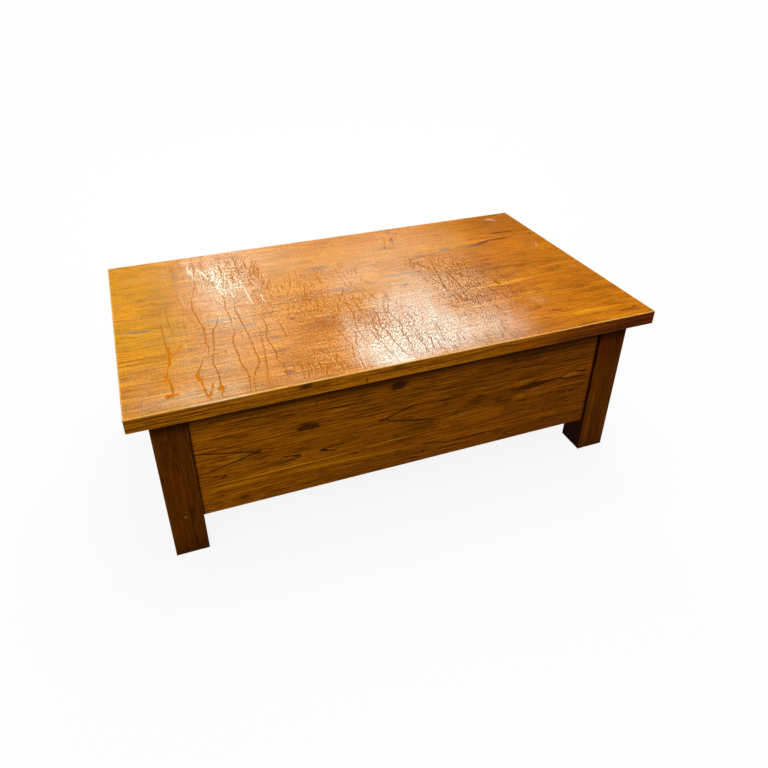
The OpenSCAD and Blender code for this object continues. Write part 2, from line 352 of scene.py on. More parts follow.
# Marks on the top, in mm: x, y, half length, half width, strength, and degrees if turned
TOP_GREY = (
    (-71, 159, 26, 17, 0.75, 8), (-91, 167, 20, 10, 0.4), (-77, 190, 9, 6, 0.4),
    (-119, 147, 12, 7, 0.35), (30, 209, 10, 7, 0.4), (-60, 24, 44, 15, 0.5, 6),
    (33, 27, 26, 11, 0.5, 6), (121, 46, 62, 10, 0.6, 3), (291, 153, 24, 13, 0.55),
    (383, 150, 30, 13, 0.6), (412, 157, 36, 7, 0.45, 18), (457, 166, 28, 6, 0.45, 5),
    (122, -184, 32, 14, 0.35, -25), (175, -208, 32, 15, 0.3, -30), (-565, -20, 55, 9, 0.5, -8),
    (-372, -35, 46, 10, 0.95, -4), (-314, -79, 34, 10, 0.95, -6), (-538, -28, 34, 8, 0.6, -6),
    (-455, -60, 70, 6, 0.45, -6), (-519, -215, 22, 8, 0.35), (-557, -328, 50, 8, 0.35),
    (96, 45, 34, 9, 0.45), (145, 48, 34, 8, 0.55, 4), (110, 49, 75, 5, 0.55, 3),
    (385, 148, 70, 5, 0.5, 4), (-440, -74, 95, 4, 0.4, -3), (-300, -40, 90, 4, 0.4, -3),
    (-545, 35, 60, 4, 0.4, -4), (-520, -72, 62, 6, 0.3, -10), (-300, 60, 60, 6, 0.25, 4),
)
TOP_SPOTS = (
    (-208, -85, 9, 8, 0.85), (-212, 33, 9, 7, 0.6), (-244, 30, 9, 8, 0.5),
    (-270, -300, 17, 11, 0.55, 20), (99, -23, 11, 12, 0.45), (340, -240, 8, 5, 0.5),
    (189, 327, 16, 10, 0.55), (102, -14, 16, 11, 0.5), (50, 285, 12, 9, 0.4),
    (178, 268, 9, 26, 0.45, -22), (206, 306, 16, 12, 0.4), (208, 134, 50, 5, 0.55, -2),
    (388, 150, 34, 7, 1.0, 2), (415, 156, 28, 10, 1.2, 16), (470, 166, 56, 8, 1.0),
    (436, -19, 36, 6, 0.5, 3), (352, -236, 14, 7, 0.55, 10), (386, -262, 34, 7, 0.45, -6),
    (340, -288, 30, 5, 0.45, -6), (424, -287, 18, 5, 0.45), (-277, -297, 14, 9, 0.45),
    (-184, -44, 8, 6, 0.6), (-508, 108, 14, 5, 0.35), (-392, 99, 14, 5, 0.35), (-130, 285, 60, 10, 0.2),
    (-95, 95, 80, 10, 0.2, 4), (529, -54, 9, 6, 0.45), (506, 208, 56, 8, 1.2, -1),
    (475, 47, 26, 4, 0.4), (230, 127, 86, 5, 0.35, -3), (353, -320, 56, 4, 0.3, 3),
    (536, -316, 54, 4, 0.45, -4), (450, -10, 140, 9, 0.3), (470, -35, 130, 6, 0.28),
    (370, -62, 44, 24, 0.28, 1), (500, -62, 60, 26, 0.28, 1), (300, -106, 90, 5, 0.3, -4),
    (500, -172, 110, 10, 0.25), (-160, -140, 75, 55, 0.22, -10), (180, 270, 26, 9, 0.4, 68),
    (142, 226, 18, 6, 0.35, 68), (120, 90, 240, 7, 0.15, 2), (-440, 250, 14, 90, 0.3),
)
# Pale marks: those at the back left, from x -405 to -280, are painted glints of a lamp; the others are
# paler wood
TOP_PALE = (
    (523, 310, 19, 10, 0.85, -12), (532, 298, 14, 6, 0.45, -20), (557, 100, 19, 3, 0.65, 54),
    (549, 86, 10, 5, 0.4, 54), (372, -202, 42, 28, 0.22, -20), (571, -66, 8, 8, 0.2),
    (-450, -92, 190, 6, 0.25, -2), (100, -92, 460, 5, 0.35), (387, -165, 60, 4, 0.3),
    (-510, 250, 110, 6, 0.35, -2), (-402, 256, 8, 26, 0.55), (-322, 220, 7, 18, 0.45),
    (-345, 206, 8, 26, 0.5), (-295, 122, 14, 5, 0.5), (-284, 132, 5, 18, 0.45), (-400, 318, 50, 5, 0.4),
)

# Where the stain shows through clear and golden, and broad darker zones, in the same terms
TOP_GOLD = (
    (330, -95, 130, 12, 0.9, 4), (450, -292, 80, 14, 0.55), (385, -163, 60, 5, 0.6),
    (420, -140, 90, 16, 0.3), (-470, 330, 60, 40, 0.4), (-60, 60, 260, 60, 0.3),
    (-180, 110, 110, 90, 0.35), (20, 250, 240, 60, 0.25),
)
TOP_SHADES = (
    (500, 290, 190, 130, 0.75), (570, 220, 90, 170, 0.4), (325, -45, 60, 35, 0.25),
    (-484, 90, 60, 330, 0.55), (-150, 130, 120, 110, 0.24), (415, -45, 90, 50, 0.3),
    (575, -60, 120, 330, 0.45), (420, 60, 200, 150, 0.3), (350, 5, 110, 55, 0.35),
    (470, -190, 180, 110, 0.45), (-150, -125, 100, 55, 0.55), (-215, -225, 110, 110, 0.28),
    (-560, -210, 80, 110, 0.2), (-400, -230, 90, 120, 0.2),
)

# Where the lacquer has gone milky, and painted glare: the paler patches are partly milky lacquer and partly
# a painted reflection of the lamps in the lacquer
TOP_MILK_AND_GLARE = (
    (-52, -326, 62, 26, 0.45), (-28, -292, 120, 95, 0.8, 75), (-92, -215, 150, 52, 0.5, 82),
    (60, -302, 70, 55, 0.35), (-20, 60, 130, 80, 0.17, 60), (150, -40, 110, 80, 0.12, 60),
    (-120, -280, 60, 60, 0.12), (-360, -40, 60, 50, 0.12), (-550, -260, 70, 130, 0.08),
    (-510, -315, 150, 50, 0.12), (165, -290, 125, 100, 0.46), (250, -240, 85, 140, 0.28),
    (120, -200, 70, 60, 0.15), (0, -65, 70, 50, 0.14), (-300, 150, 80, 200, 0.12),
    (-250, -320, 70, 50, 0.1), (300, -149, 60, 30, 0.06), (240, -60, 130, 90, 0.2, 70),
    (-345, 205, 120, 65, 0.24, 85), (-295, 135, 110, 75, 0.28, 80), (-290, 262, 80, 50, 0.22),
    (20, -200, 200, 120, 0.42, 66), (80, -270, 150, 90, 0.38, 80), (110, -60, 190, 110, 0.35, 60),
    (110, -190, 160, 150, 0.3), (-360, 130, 260, 90, 0.25, 92), (-340, 190, 110, 60, 0.34, 100),
    (-320, -120, 200, 130, 0.1, 85), (-425, -235, 90, 140, 0.2), (-440, -318, 130, 50, 0.24),
    (120, 160, 300, 180, 0.12, 20), (-190, 240, 140, 120, 0.1),
)

# Where the lacquer has flaked off and the wood is a clear orange
TOP_BARE = (
    (-135, -90, 110, 110, 0.9), (-150, -150, 110, 90, 0.7), (-205, -230, 120, 90, 0.6),
    (-190, -310, 110, 60, 0.8), (240, 20, 90, 60, 0.6, 20),
)

# Dark grain and dents on the front edge, in mm: x, z, then as on the top
EDGE_LINES = (
    (-515, 408.5, 150, 1.5, 1.0), (-500, 401.5, 170, 1.4, 0.9), (-480, 394.0, 190, 1.6, 1.0),
    (-560, 388.0, 60, 1.4, 0.8), (-300, 404.0, 140, 1.2, 0.6), (-252, 408.0, 20, 10.0, 0.9),
    (-218, 401.0, 34, 3.0, 0.8), (-52, 409.0, 24, 8.0, 0.6), (-180, 396.0, 60, 1.4, 0.7),
    (-122, 393.0, 3, 8.0, 0.9), (-60, 402.0, 120, 1.4, 0.5), (60, 397.0, 160, 1.4, 0.5),
    (240, 404.0, 150, 1.5, 0.6), (330, 392.0, 130, 1.4, 0.6), (430, 399.0, 110, 2.0, 0.8),
    (520, 408.0, 80, 1.6, 0.9), (560, 401.0, 60, 1.6, 0.9), (500, 391.0, 120, 2.4, 0.9),
)

# Where the lacquer has a net of fine cracks, in the same terms
CRAZED_SPOTS = (
    (0, -215, 200, 150, 1.0, -65), (255, -40, 240, 150, 1.3, 75), (-305, 190, 190, 120, 1.4, 90),
    (-150, 0, 200, 160, 0.7, 80), (-190, -260, 110, 130, 0.5),
)


def top_stain(g, index, place, x, y, grain_place, fibre_share):
    """A board's stained wood, amber at the top's left end and deeper at its right."""
    seed, side, depth, spacing, sway, bright, red = BOARDS[index]
    parts = figure(g, grain_place, seed, side, depth, spacing, sway)
    parts["tone"] = g.muladd(parts["tone"], 0.66, 0.20)
    colour = stained(g, parts, (TOP_LIGHT, TOP_MIDDLE, TOP_DARK), 0.50, fibre_share, 0.45)
    zone_noise = g.mul(g.sub(g.noise(place, (5.0, 3.0, 1.0), 2.0), 0.5), 0.10)
    zone_x = g.add(x, zone_noise)
    amber = g.mul(g.ease(zone_x, -0.460, -0.415, 1.0, 0.0), g.ease(y, -0.26, -0.10, 0.1, 1.0))
    deep = g.ease(g.sub(zone_x, g.muladd(y, 0.33, 0.300)), -0.02, 0.08)
    zones = g.mix(g.mul(amber, 0.76), (1, 1, 1), [a / m for a, m in zip(TOP_AMBER, TOP_MIDDLE)])
    zones = g.mix(g.mul(deep, 0.60), zones, [a / m for a, m in zip(TOP_DEEP, TOP_MIDDLE)])
    colour = g.tint(1.0, colour, zones)
    return g.tint(1.0, colour, (bright * (1 + red), bright, bright * (1 - red))), parts["height"]


def top_marks(g, index, colour, marked):
    """The marks and the broad darker zones that fall on a board."""
    low, high = BOARD_EDGES[index], BOARD_EDGES[index + 1]

    def near(marks):
        return [m for m in marks if low - 2 * m[3] - 12 < m[1] < high + 2 * m[3] + 12]

    # Grey streaks, dark spots, pale marks (some of them painted glints) and golden marks
    for marks, stain, share in (
        (TOP_GREY, GREY_STAIN, 0.85),
        (TOP_SPOTS, SPOT_STAIN, 0.85),
        (TOP_PALE, PALE_STAIN_AND_GLINT, 0.80),
        (TOP_GOLD, GOLD_STAIN, 0.70),
    ):
        amount = g.ease(g.marks(marked, near(marks)), 0.0, 0.52, 0.0, share)
        colour = g.mix(amount, colour, stain)
    shades = g.lower(g.marks(marked, near(TOP_SHADES)), 1.0)
    return g.shade(g.muladd(shades, -0.40, 1.0), colour)


def top_milk_and_glare(g, colour, place, x, grain, strokes, milk_and_glare_spots):
    """Grain, milky lacquer and painted glare: over the middle and in a column on the left the top is paler,
    partly from milky lacquer and partly from a painted reflection of the lamps.
    """
    grain_share = g.mul(g.ease(x, -0.30, -0.10, 1.12, 0.80), g.ease(x, 0.35, 0.50, 1.0, 1.30))
    colour = g.shade(g.muladd(grain, grain_share, 1.0), colour)
    speck = g.sub(g.noise(place, (430.0, 260.0, 260.0), 1.0), 0.5)
    colour = g.shade(g.muladd(speck, 0.55, 1.0), colour)
    cloudy = g.noise(strokes, (40.0, 7.0, 1.0), 3.0, 0.6)
    wrinkle = g.sub(g.noise(strokes, (330.0, 125.0, 125.0), 1.6, 0.85), 0.5)
    rougher = g.ease(x, -0.50, -0.30, 0.75, 1.25)
    # Painted glare mixed with milky lacquer: the top turns paler where the lamps are mirrored in it
    milk_and_glare = g.mul(g.marks(place, milk_and_glare_spots), g.ease(cloudy, 0.25, 0.75, 0.60, 1.15))
    milk_and_glare = g.mul(milk_and_glare, g.muladd(g.add(g.mul(wrinkle, rougher), grain), 1.3, 1.0))
    milk_and_glare_colour = g.mix(g.ease(x, -0.25, -0.10), MILK_AND_GLARE_LEFT, MILK_AND_GLARE)
    return g.mix(g.lower(milk_and_glare, 0.85), colour, milk_and_glare_colour), cloudy, wrinkle, rougher


def top_crazing(g, colour, place, marked, cloudy, spots):
    """Fine cracks in the lacquer across the grain, and a net of them in the crazed spots."""
    craze_place = g.vector("ADD", place, g.wander(place, MARK_GRIT, (0.006, 0.0, 0.0)))
    craze = g.noise(craze_place, (170.0, 14.0, 1.0), 1.0)
    craze = g.ease(g.absolute(g.sub(craze, 0.5)), 0.0, 0.022, 1.0, 0.0)
    craze = g.mul(craze, g.ease(g.noise(place, (7.0, 5.0, 1.0), 1.0), 0.35, 0.60))
    colour = g.shade(g.muladd(craze, -0.22, 1.0), colour)
    crazed = g.lower(g.marks(place, spots), 1.0)
    crazed = g.mul(crazed, g.ease(cloudy, 0.30, 0.55, 0.45, 1.0))
    inputs = {"Vector": g.vector("MULTIPLY", marked, (110.0, 46.0, 0.0)), "Scale": 1.0}
    cells = g.node("TexVoronoi", inputs, feature="DISTANCE_TO_EDGE", voronoi_dimensions="2D").outputs[0]
    cell_edge = g.mul(g.ease(cells, 0.02, 0.15, 1.0, 0.0), crazed)
    cell_slope = g.mul(g.ease(cells, 0.0, 0.40), crazed)
    return g.tint(g.mul(cell_edge, 0.90), colour, CRAZED_FILTER), craze, crazed, cell_slope


def top_edges(g, colour, place, inward, wander, with_lines):
    """Darker edges and ends, a worn arris with a painted highlight along it, grain drawn on the front edge,
    and the raw underside.
    """
    x, y, z = g.split(place)
    to_side = g.sub(TOP_SIDE, g.absolute(y))
    to_end = g.sub(TOP_END, g.absolute(x))
    to_edge = g.lower(to_side, to_end)
    on_edge = g.ease(to_edge, 0.0003, 0.0016, 1.0, 0.0)
    on_end = g.ease(to_end, 0.0003, 0.0016, 1.0, 0.0)
    colour = g.tint(on_edge, colour, EDGE_FILTER)
    colour = g.tint(g.mul(on_edge, g.ease(x, 0.18, 0.58)), colour, RED_END_FILTER)
    colour = g.shade(g.muladd(on_end, -0.30, 1.0), colour)
    worn = g.ease(g.noise(place, (60.0, 60.0, 60.0), 3.0), 0.30, 0.60, 0.55, 1.0)
    arris = g.mul(g.ease(to_edge, 0.0012, 0.0034, 1.0, 0.0), g.ease(inward, 0.0006, 0.0024, 1.0, 0.0))
    # The arris is partly worn, lighter wood and partly a painted highlight; near the left end it is paler,
    # a painted glint on the wear
    colour = g.mix(g.mul(g.mul(arris, worn), 0.90), colour, WORN_ARRIS_HIGHLIGHT)
    bleached_and_glint = g.mul(arris, g.ease(g.absolute(g.add(x, 0.415)), 0.045, 0.070, 0.6, 0.0))
    colour = g.mix(g.mul(bleached_and_glint, g.ease(y, -0.345, -0.346)), colour, BLEACHED_ARRIS_GLINT)
    if with_lines:
        face = g.vector("ADD", g.join(x, z, 0.0), g.vector("MULTIPLY", wander, (0.5, 0.12, 0.0)))
        lines = g.mul(g.marks(face, EDGE_LINES), g.ease(to_side, 0.0003, 0.0012, 1.0, 0.0))
        colour = g.mix(g.ease(lines, 0.0, 0.8, 0.0, 0.85), colour, EDGE_GRAIN)
    under = g.ease(inward, 0.0322, 0.0328)
    return g.mix(under, colour, g.shade(0.72, colour)), arris, under


def top_material(index, sides=False):
    """The wood and lacquer of a board's upper face, or of its edges and underside."""
    material, g = new_material(f"top_board_{index + 1}_" + ("sides" if sides else "wood"))
    place = object_place(g)
    x, y, z = g.split(place)
    inward = g.sub(TOP_FACE, z)
    grain_place = g.join(x, y, inward)
    colour, figure_height = top_stain(g, index, place, x, y, grain_place, 2.3 if sides else 1.3)
    wander = g.wander(place, MARK_GRIT, (0.026, 0.005, 0.0))
    marked = g.vector("ADD", place, wander)
    colour = top_marks(g, index, colour, marked)

    strokes = g.join(g.sub(x, g.mul(y, g.muladd(x, 0.5, 0.33))), y, z)
    grain = g.sub(g.noise(grain_place, (9.0, 210.0, 210.0), 2.0, 0.7), 0.5)
    milk_and_glare_spots, spots, bare_spots = ((), (), ()) if sides else (TOP_MILK_AND_GLARE, CRAZED_SPOTS, TOP_BARE)
    colour, cloudy, wrinkle, rougher = top_milk_and_glare(g, colour, place, x, grain, strokes, milk_and_glare_spots)
    colour, craze, crazed, cell_slope = top_crazing(g, colour, place, marked, cloudy, spots)

    # The lacquer's skin is wrinkled, most of all where it is crazed, and gone in patches
    wrinkle_share = 0.3 if sides else g.mul(g.muladd(crazed, 3.0, 1.1), rougher)
    colour = g.shade(g.muladd(wrinkle, wrinkle_share, 1.0), colour)
    flakes = g.ease(g.noise(place, (70.0, 40.0, 1.0), 3.0, 0.7), 0.36, 0.56)
    bare = g.mul(g.lower(g.marks(marked, bare_spots), 1.0), flakes)
    colour = g.tint(g.mul(bare, 0.65), colour, BARE_FILTER)
    colour, arris, under = top_edges(g, colour, place, inward, wander, sides and index == 0)

    # Ripples across the grain, orange peel, wrinkles and the cracks' edges
    ripple = g.noise(place, (140.0, 16.0, 16.0), 2.0)
    peel = g.noise(place, (420.0, 420.0, 420.0), 1.0)
    height = g.add(ripple, g.mul(peel, 0.30))
    for part, share in (
        (craze, -0.35),
        (cell_slope, 0.9),
        (g.mul(wrinkle, crazed), 1.2),
        (figure_height, 0.15),
    ):
        height = g.muladd(part, share, height)
    rough = g.muladd(g.noise(place, (30.0, 8.0, 8.0), 2.0), 0.10, 0.23)
    rough = g.muladd(craze, 0.15, rough)
    rough = g.muladd(under, 0.30, rough)
    if sides:
        surface(g, colour, height, 0.5, rough, 0.02, (1.0, 0.60, 0.30), distance=0.0008)
        return material
    sheen = g.mul(g.ease(x, 0.26, 0.46, 0.16, 0.035), g.muladd(bare, -0.7, 1.0))
    sheen = g.mul(sheen, g.muladd(arris, -0.8, 1.0))
    rippled = g.mul(wrinkle, g.muladd(crazed, 3.0, rougher))
    sheen = g.mul(sheen, g.muladd(g.add(rippled, grain), 2.2, 1.0))
    surface(g, colour, height, 0.5, rough, sheen, (0.96, 0.93, 0.90), distance=0.0008)
    return material


def crack_material(name, colour_a, colour_b, roughness, specular, far_end=1.0):
    material, g = new_material(name)
    place = object_place(g)
    mottled = g.noise(place, (260.0, 90.0, 90.0), 3.0)
    colour = g.mix(g.ease(mottled, 0.35, 0.65), colour_a, colour_b)
    colour = g.shade(g.ease(g.split(place)[0], -0.10, 0.20, 1.0, far_end), colour)
    surface(g, colour, mottled, 0.4, roughness, specular, distance=0.0003)
    return material


CRACK_DARK = crack_material("crack_dark", (0.350, 0.098, 0.001), (0.520, 0.160, 0.002), 0.60, 0.02, 0.55)
CRACK_DRIP = crack_material("crack_drip", (0.460, 0.132, 0.002), (0.660, 0.210, 0.004), 0.60, 0.03)
# Lifted lacquer along the pale cracks, its near white a painted glint of a lamp
CRACK_PALE_GLINT = crack_material("crack_pale_glint", (0.980, 0.940, 0.850), (0.880, 0.780, 0.600), 0.35, 0.5)

# Cracks in the lacquer, in mm: each has a width, then the points that it runs through
DARK_CRACKS = (
    (1.3, (-499, 0), (-497, -86), (-496, -143), (-494, -168), (-500, -194), (-506, -223)),
    (9.0, (-493, -118), (-495, -150), (-498, -190)),
    (9.5, (-506, -219), (-508, -238), (-503, -266)),
    (2.2, (-501, -258), (-502, -286), (-500, -300)),
    (13.0, (-518, -304), (-505, -300), (-492, -300)),
    (6.0, (-462, -110), (-477, -137), (-492, -160)),
    (0.9, (-481, 79), (-481, 0), (-476, -51), (-477, -66)),
    (0.8, (-385, 300), (-390, 241), (-394, 210), (-397, 184), (-399, 161), (-403, 139), (-410, 116)),
    (1.4, (-410, 116), (-415, 101), (-417, 79), (-420, 36), (-415, 0), (-414, -23), (-409, -49),
     (-410, -91), (-413, -123), (-411, -143), (-414, -171), (-409, -183)),
    (1.5, (-409, -183), (-410, -200), (-411, -217), (-408, -251), (-409, -286), (-411, -309),
     (-413, -345)),
    (12.0, (-410, -296), (-410, -308), (-410, -322)),
    (1.2, (-368, -9), (-374, -37), (-381, -60), (-389, -74), (-393, -94), (-397, -126), (-399, -149),
     (-404, -171), (-409, -183)),
    (1.1, (-406, -64), (-397, -67), (-386, -69)),
    (1.5, (-431, -183), (-411, -183), (-403, -179), (-377, -174)),
    (6.0, (-381, -170), (-378, -184)),
    (1.5, (-430, -187), (-436, -211), (-443, -229), (-449, -251), (-444, -266), (-443, -286),
     (-442, -311), (-437, -329), (-435, -344)),
    (11.0, (-450, -244), (-448, -257), (-444, -270)),
    (4.5, (-444, -268), (-443, -290), (-440, -334)),
    (5.0, (-423, -284), (-429, -308), (-437, -332)),
    (4.5, (-452, -300), (-446, -304)),
    (1.1, (-340, 93), (-340, 50), (-346, 21), (-344, 0), (-343, -36), (-346, -71)),
    (1.4, (-346, -71), (-344, -91), (-350, -114), (-357, -143), (-357, -171), (-356, -200), (-357, -223),
     (-354, -251), (-351, -269), (-352, -297), (-356, -323), (-359, -346)),
    (0.9, (-334, -31), (-331, -54)),
    (0.9, (-334, -118), (-333, -131)),
    (1.3, (-319, 50), (-326, 0), (-323, -17), (-323, -43), (-321, -71), (-320, -103), (-318, -134),
     (-319, -171), (-319, -200), (-318, -223), (-323, -251), (-334, -271), (-340, -291), (-347, -320),
     (-349, -345)),
    (1.2, (-291, -106), (-294, -137), (-297, -171), (-300, -206), (-306, -240), (-310, -274),
     (-317, -309), (-319, -344)),
    (1.3, (-274, -29), (-273, -63), (-271, -86), (-274, -109), (-282, -137), (-283, -160), (-280, -194),
     (-279, -217), (-282, -243), (-276, -269), (-277, -300), (-277, -329), (-271, -344)),
    (0.7, (-243, -57), (-241, -95), (-240, -129), (-241, -171)),
    (1.0, (-274, 321), (-277, 264), (-276, 230), (-279, 207), (-280, 179)),
    (0.9, (-254, 293), (-253, 236), (-250, 207), (-249, 179)),
    (0.9, (-209, 164), (-214, 121), (-226, 79), (-229, 36)),
    (0.9, (-74, -17), (-73, -54), (-69, -77), (-66, -109), (-71, -129), (-70, -149), (-69, -169)),
    (1.1, (-37, -6), (-44, -34), (-49, -66), (-46, -103), (-51, -120), (-61, -137), (-63, -160)),
    (1.0, (-57, -160), (-61, -174), (-67, -190)),
    (1.2, (-77, -131), (-79, -154), (-83, -177), (-84, -200), (-83, -220), (-80, -243), (-77, -254)),
    (1.2, (-60, -194), (-56, -217), (-57, -237), (-59, -253)),
    (1.0, (-53, -257), (-51, -280), (-49, -303), (-47, -317)),
    (1.0, (-33, -133), (-37, -154), (-43, -177), (-43, -191)),
    (1.5, (-17, -97), (-19, -143), (-23, -166), (-30, -189), (-26, -209), (-23, -229), (-25, -249),
     (-25, -269), (-23, -286), (-24, -303), (-20, -317), (-17, -331)),
    (1.0, (7, -109), (3, -134), (1, -160), (-3, -183), (-3, -203), (3, -217)),
    (1.3, (34, -80), (26, -94), (19, -111), (13, -134), (15, -160), (17, -183), (16, -209), (7, -226),
     (6, -243), (8, -257), (4, -271), (6, -283), (10, -289), (6, -302)),
    (0.9, (40, -140), (39, -186), (33, -206), (30, -231)),
    (0.8, (49, -151), (48, -164), (49, -177)),
    (0.8, (66, -154), (66, -183)),
    (0.9, (0, -274), (-3, -297), (-4, -320)),
    (1.0, (29, -249), (29, -274), (30, -297), (29, -314), (29, -335)),
    (1.6, (43, -257), (54, -274), (49, -297), (44, -317), (45, -335)),
    (0.9, (67, -317), (63, -335)),
    (0.9, (81, -317), (84, -338)),
    (1.2, (-91, -183), (-94, -203), (-101, -223), (-106, -243), (-106, -260)),
    (1.0, (-114, -237), (-119, -253), (-123, -269)),
    (0.6, (-166, -257), (-164, -300), (-166, -343)),
    (0.8, (-149, 0), (-148, -26)),
    (0.8, (-121, -43), (-120, -55)),
    (0.8, (-13, -6), (-13, -51)),
    (0.8, (0, -20), (3, -51)),
    (0.8, (-46, -223), (-46, -234)),
    (1.2, (172, 128), (174, 92), (182, 83)),
    (1.3, (187, 115), (187, 88), (197, 64), (200, 39)),
    (1.4, (232, 120), (224, 81), (214, 50), (208, 13), (200, -22), (196, -51), (191, -73), (192, -97),
     (202, -104)),
    (1.4, (181, 17), (183, -9), (188, -30), (190, -49), (190, -67)),
    (1.5, (236, 35), (235, 3), (234, -28), (233, -53), (232, -77), (241, -98)),
    (1.2, (258, -44), (257, -62), (251, -84)),
    (1.2, (287, -48), (283, -72), (280, -89)),
    (1.3, (192, -97), (191, -131), (187, -151)),
    (1.2, (203, -113), (205, -142), (209, -154)),
    (1.2, (222, -108), (219, -130), (221, -153)),
    (1.3, (243, -110), (242, -133), (231, -174)),
    (1.0, (297, -113), (293, -141)),
    (1.0, (265, -192), (263, -218)),
    (0.9, (262, 60), (258, 20), (254, -14)),
    (0.8, (301, 20), (297, -16)),
    (1.0, (-246, -262), (-243, -296), (-247, -336)),
    (1.1, (-230, -270), (-226, -300), (-228, -330)),
    (0.9, (-216, -262), (-219, -290), (-214, -322)),
    (1.0, (-203, -276), (-204, -300), (-199, -338)),
    (0.8, (174, -130), (175, -146)),
    (0.8, (174, 104), (186, 79), (194, 50)),
    (0.6, (-154, 164), (-163, 120), (-171, 79), (-189, 41)),
    (0.6, (-33, 164), (-35, 120), (-37, 79), (-36, 13)),
    (2.6, (519, -314), (532, -319), (545, -318), (558, -318), (564, -313), (573, -311), (588, -313)),
    (2.6, (489, -311), (491, -317)),
    (4.5, (166, 293), (158, 268), (146, 239)),
    (3.0, (143, 232), (137, 214)),
    (1.1, (-142, 17), (-147, -9), (-148, -31), (-141, -50), (-127, -44)),
    (1.5, (-108, 4), (-113, -22), (-122, -52), (-136, -73), (-137, -94)),
    (1.3, (-88, -48), (-94, -73), (-99, -97), (-114, -113), (-124, -114)),
    (1.0, (-40, -27), (-44, -54), (-46, -80), (-45, -107), (-56, -129), (-66, -146), (-68, -165)),
    (1.0, (-70, -55), (-69, -88), (-70, -114), (-77, -142), (-83, -164)),
    (1.0, (-107, -130), (-110, -159), (-111, -183)),
    (1.1, (-128, -127), (-130, -147), (-126, -172), (-124, -196), (-121, -221), (-116, -241),
     (-121, -261), (-127, -280), (-130, -300), (-128, -313)),
    (1.1, (-148, -115), (-151, -139), (-160, -160)),
    (0.9, (-243, -114), (-241, -134), (-242, -157)),
    (1.0, (-94, -203), (-101, -224), (-107, -240), (-107, -262)),
    (1.2, (-226, -285), (-233, -310), (-238, -335)),
    (1.1, (-205, -280), (-206, -304), (-208, -327)),
    (1.4, (-188, -291), (-195, -312), (-206, -340)),
    (1.3, (-159, -247), (-162, -271), (-168, -294), (-166, -315), (-167, -339), (-169, -347)),
    (0.9, (-229, -233), (-235, -265), (-247, -293)),
    (0.9, (-257, -265), (-259, -292), (-268, -316)),
    (0.9, (-202, -235), (-206, -263), (-216, -280)),
    (1.0, (-173, -11), (-175, -37), (-188, -48)),
    (1.0, (-207, -30), (-210, -61), (-224, -86)),
    (1.2, (-167, -98), (-159, -111), (-144, -107), (-131, -121)),
)
# Pale cracks, of lifted lacquer, coloured near white as a painted glint of a lamp
PALE_GLINT_CRACKS = (
    (4.4, (-381, 264), (-372, 245), (-364, 216), (-355, 187), (-349, 176)),
    (1.1, (-345, 268), (-342, 240), (-342, 207), (-350, 185)),
    (1.2, (-333, 198), (-335, 167), (-343, 140), (-340, 109), (-331, 88)),
    (0.9, (-336, 131), (-328, 110), (-320, 113)),
    (1.0, (-311, 177), (-309, 145), (-313, 122), (-321, 108)),
    (1.0, (-319, 101), (-316, 77), (-316, 65)),
    (1.0, (-282, 111), (-281, 81), (-280, 46), (-279, 18)),
    (0.9, (-388, 284), (-397, 254), (-394, 221), (-390, 194)),
    (0.9, (-396, 321), (-399, 281), (-404, 257)),
    (0.8, (-318, 224), (-315, 197), (-325, 170)),
    (0.5, (-247, 86), (-251, 47), (-248, 23), (-234, 23)),
    (0.6, (-284, 167), (-284, 130), (-293, 109)),
    (0.9, (-302, 124), (-294, 121), (-287, 120)),
    (1.1, (-402, 276), (-400, 256), (-403, 238)),
    (0.9, (-388, 262), (-394, 250), (-390, 236)),
    (1.0, (-329, 113), (-331, 93)),
    (0.7, (-109, -266), (-111, -291), (-115, -314), (-117, -341)),
    (0.7, (-126, -291), (-123, -314), (-127, -341)),
)
CRACK_STEP = 3.0

# Widths in mm that part the fine cracks from the plain ones, the broad ones and the drips
FINE_WIDTH = 0.85
BROAD_WIDTH = 3.0
DRIP_WIDTH = 3.5

# How much wider than listed a crack is cut, so that it shows: by its kind and by where it starts, in mm
CRACK_GROWTH = 1.60
LEFT_CRACK_GROWTH = 2.10
RIGHT_SHARE = 1.18
MIDDLE_SHARE = 1.45
LEFT_PART = -200
RIGHT_PART = 150
MIDDLE_PART = (-270, 60)
MIDDLE_FRONT = -60

# Kinds of cracks, which are also the places of their materials on a board
DARK, PALE, DRIP = 1, 2, 4
SIDES = 3
CRACK_SEED = 41

# Zones of fine crazing, in mm: kind, x and y from and to, how many, shortest and longest crack, lean
CRAZED_ZONES = (
    (DARK, -128, 92, -344, -110, 44, 14, 80, 0.05),
    (DARK, -70, 60, -130, -20, 20, 12, 50, 0.10),
    (DARK, 160, 370, -170, 80, 150, 8, 34, 0.02),
    (DARK, 190, 420, -240, -120, 60, 8, 30, -0.04),
    (DARK, 150, 300, 40, 140, 30, 10, 40, 0.16),
    (DARK, -400, -220, 150, 320, 90, 14, 60, 0.10),
    (DARK, -270, -130, -344, -230, 30, 8, 34, 0.00),
    (DARK, -270, 20, -60, 170, 90, 12, 50, 0.16),
    (PALE, -408, -300, 170, 325, 20, 5, 12, 0.10),
    (DARK, 85, 250, -344, -190, 40, 12, 50, 0.03),
    (DARK, 240, 330, -344, -290, 8, 10, 26, 0.03),
)
SEAM_MARGIN = 0.25

# The lacquer curls beside a crack: a sloping lip falls to the core, a deeper groove, in mm
LIP_DROP = 0.09
CORE_DEPTH = 0.26

# Below the arris of the upper face, in metres, a board is all sides
ARRIS_DROP = 0.0021


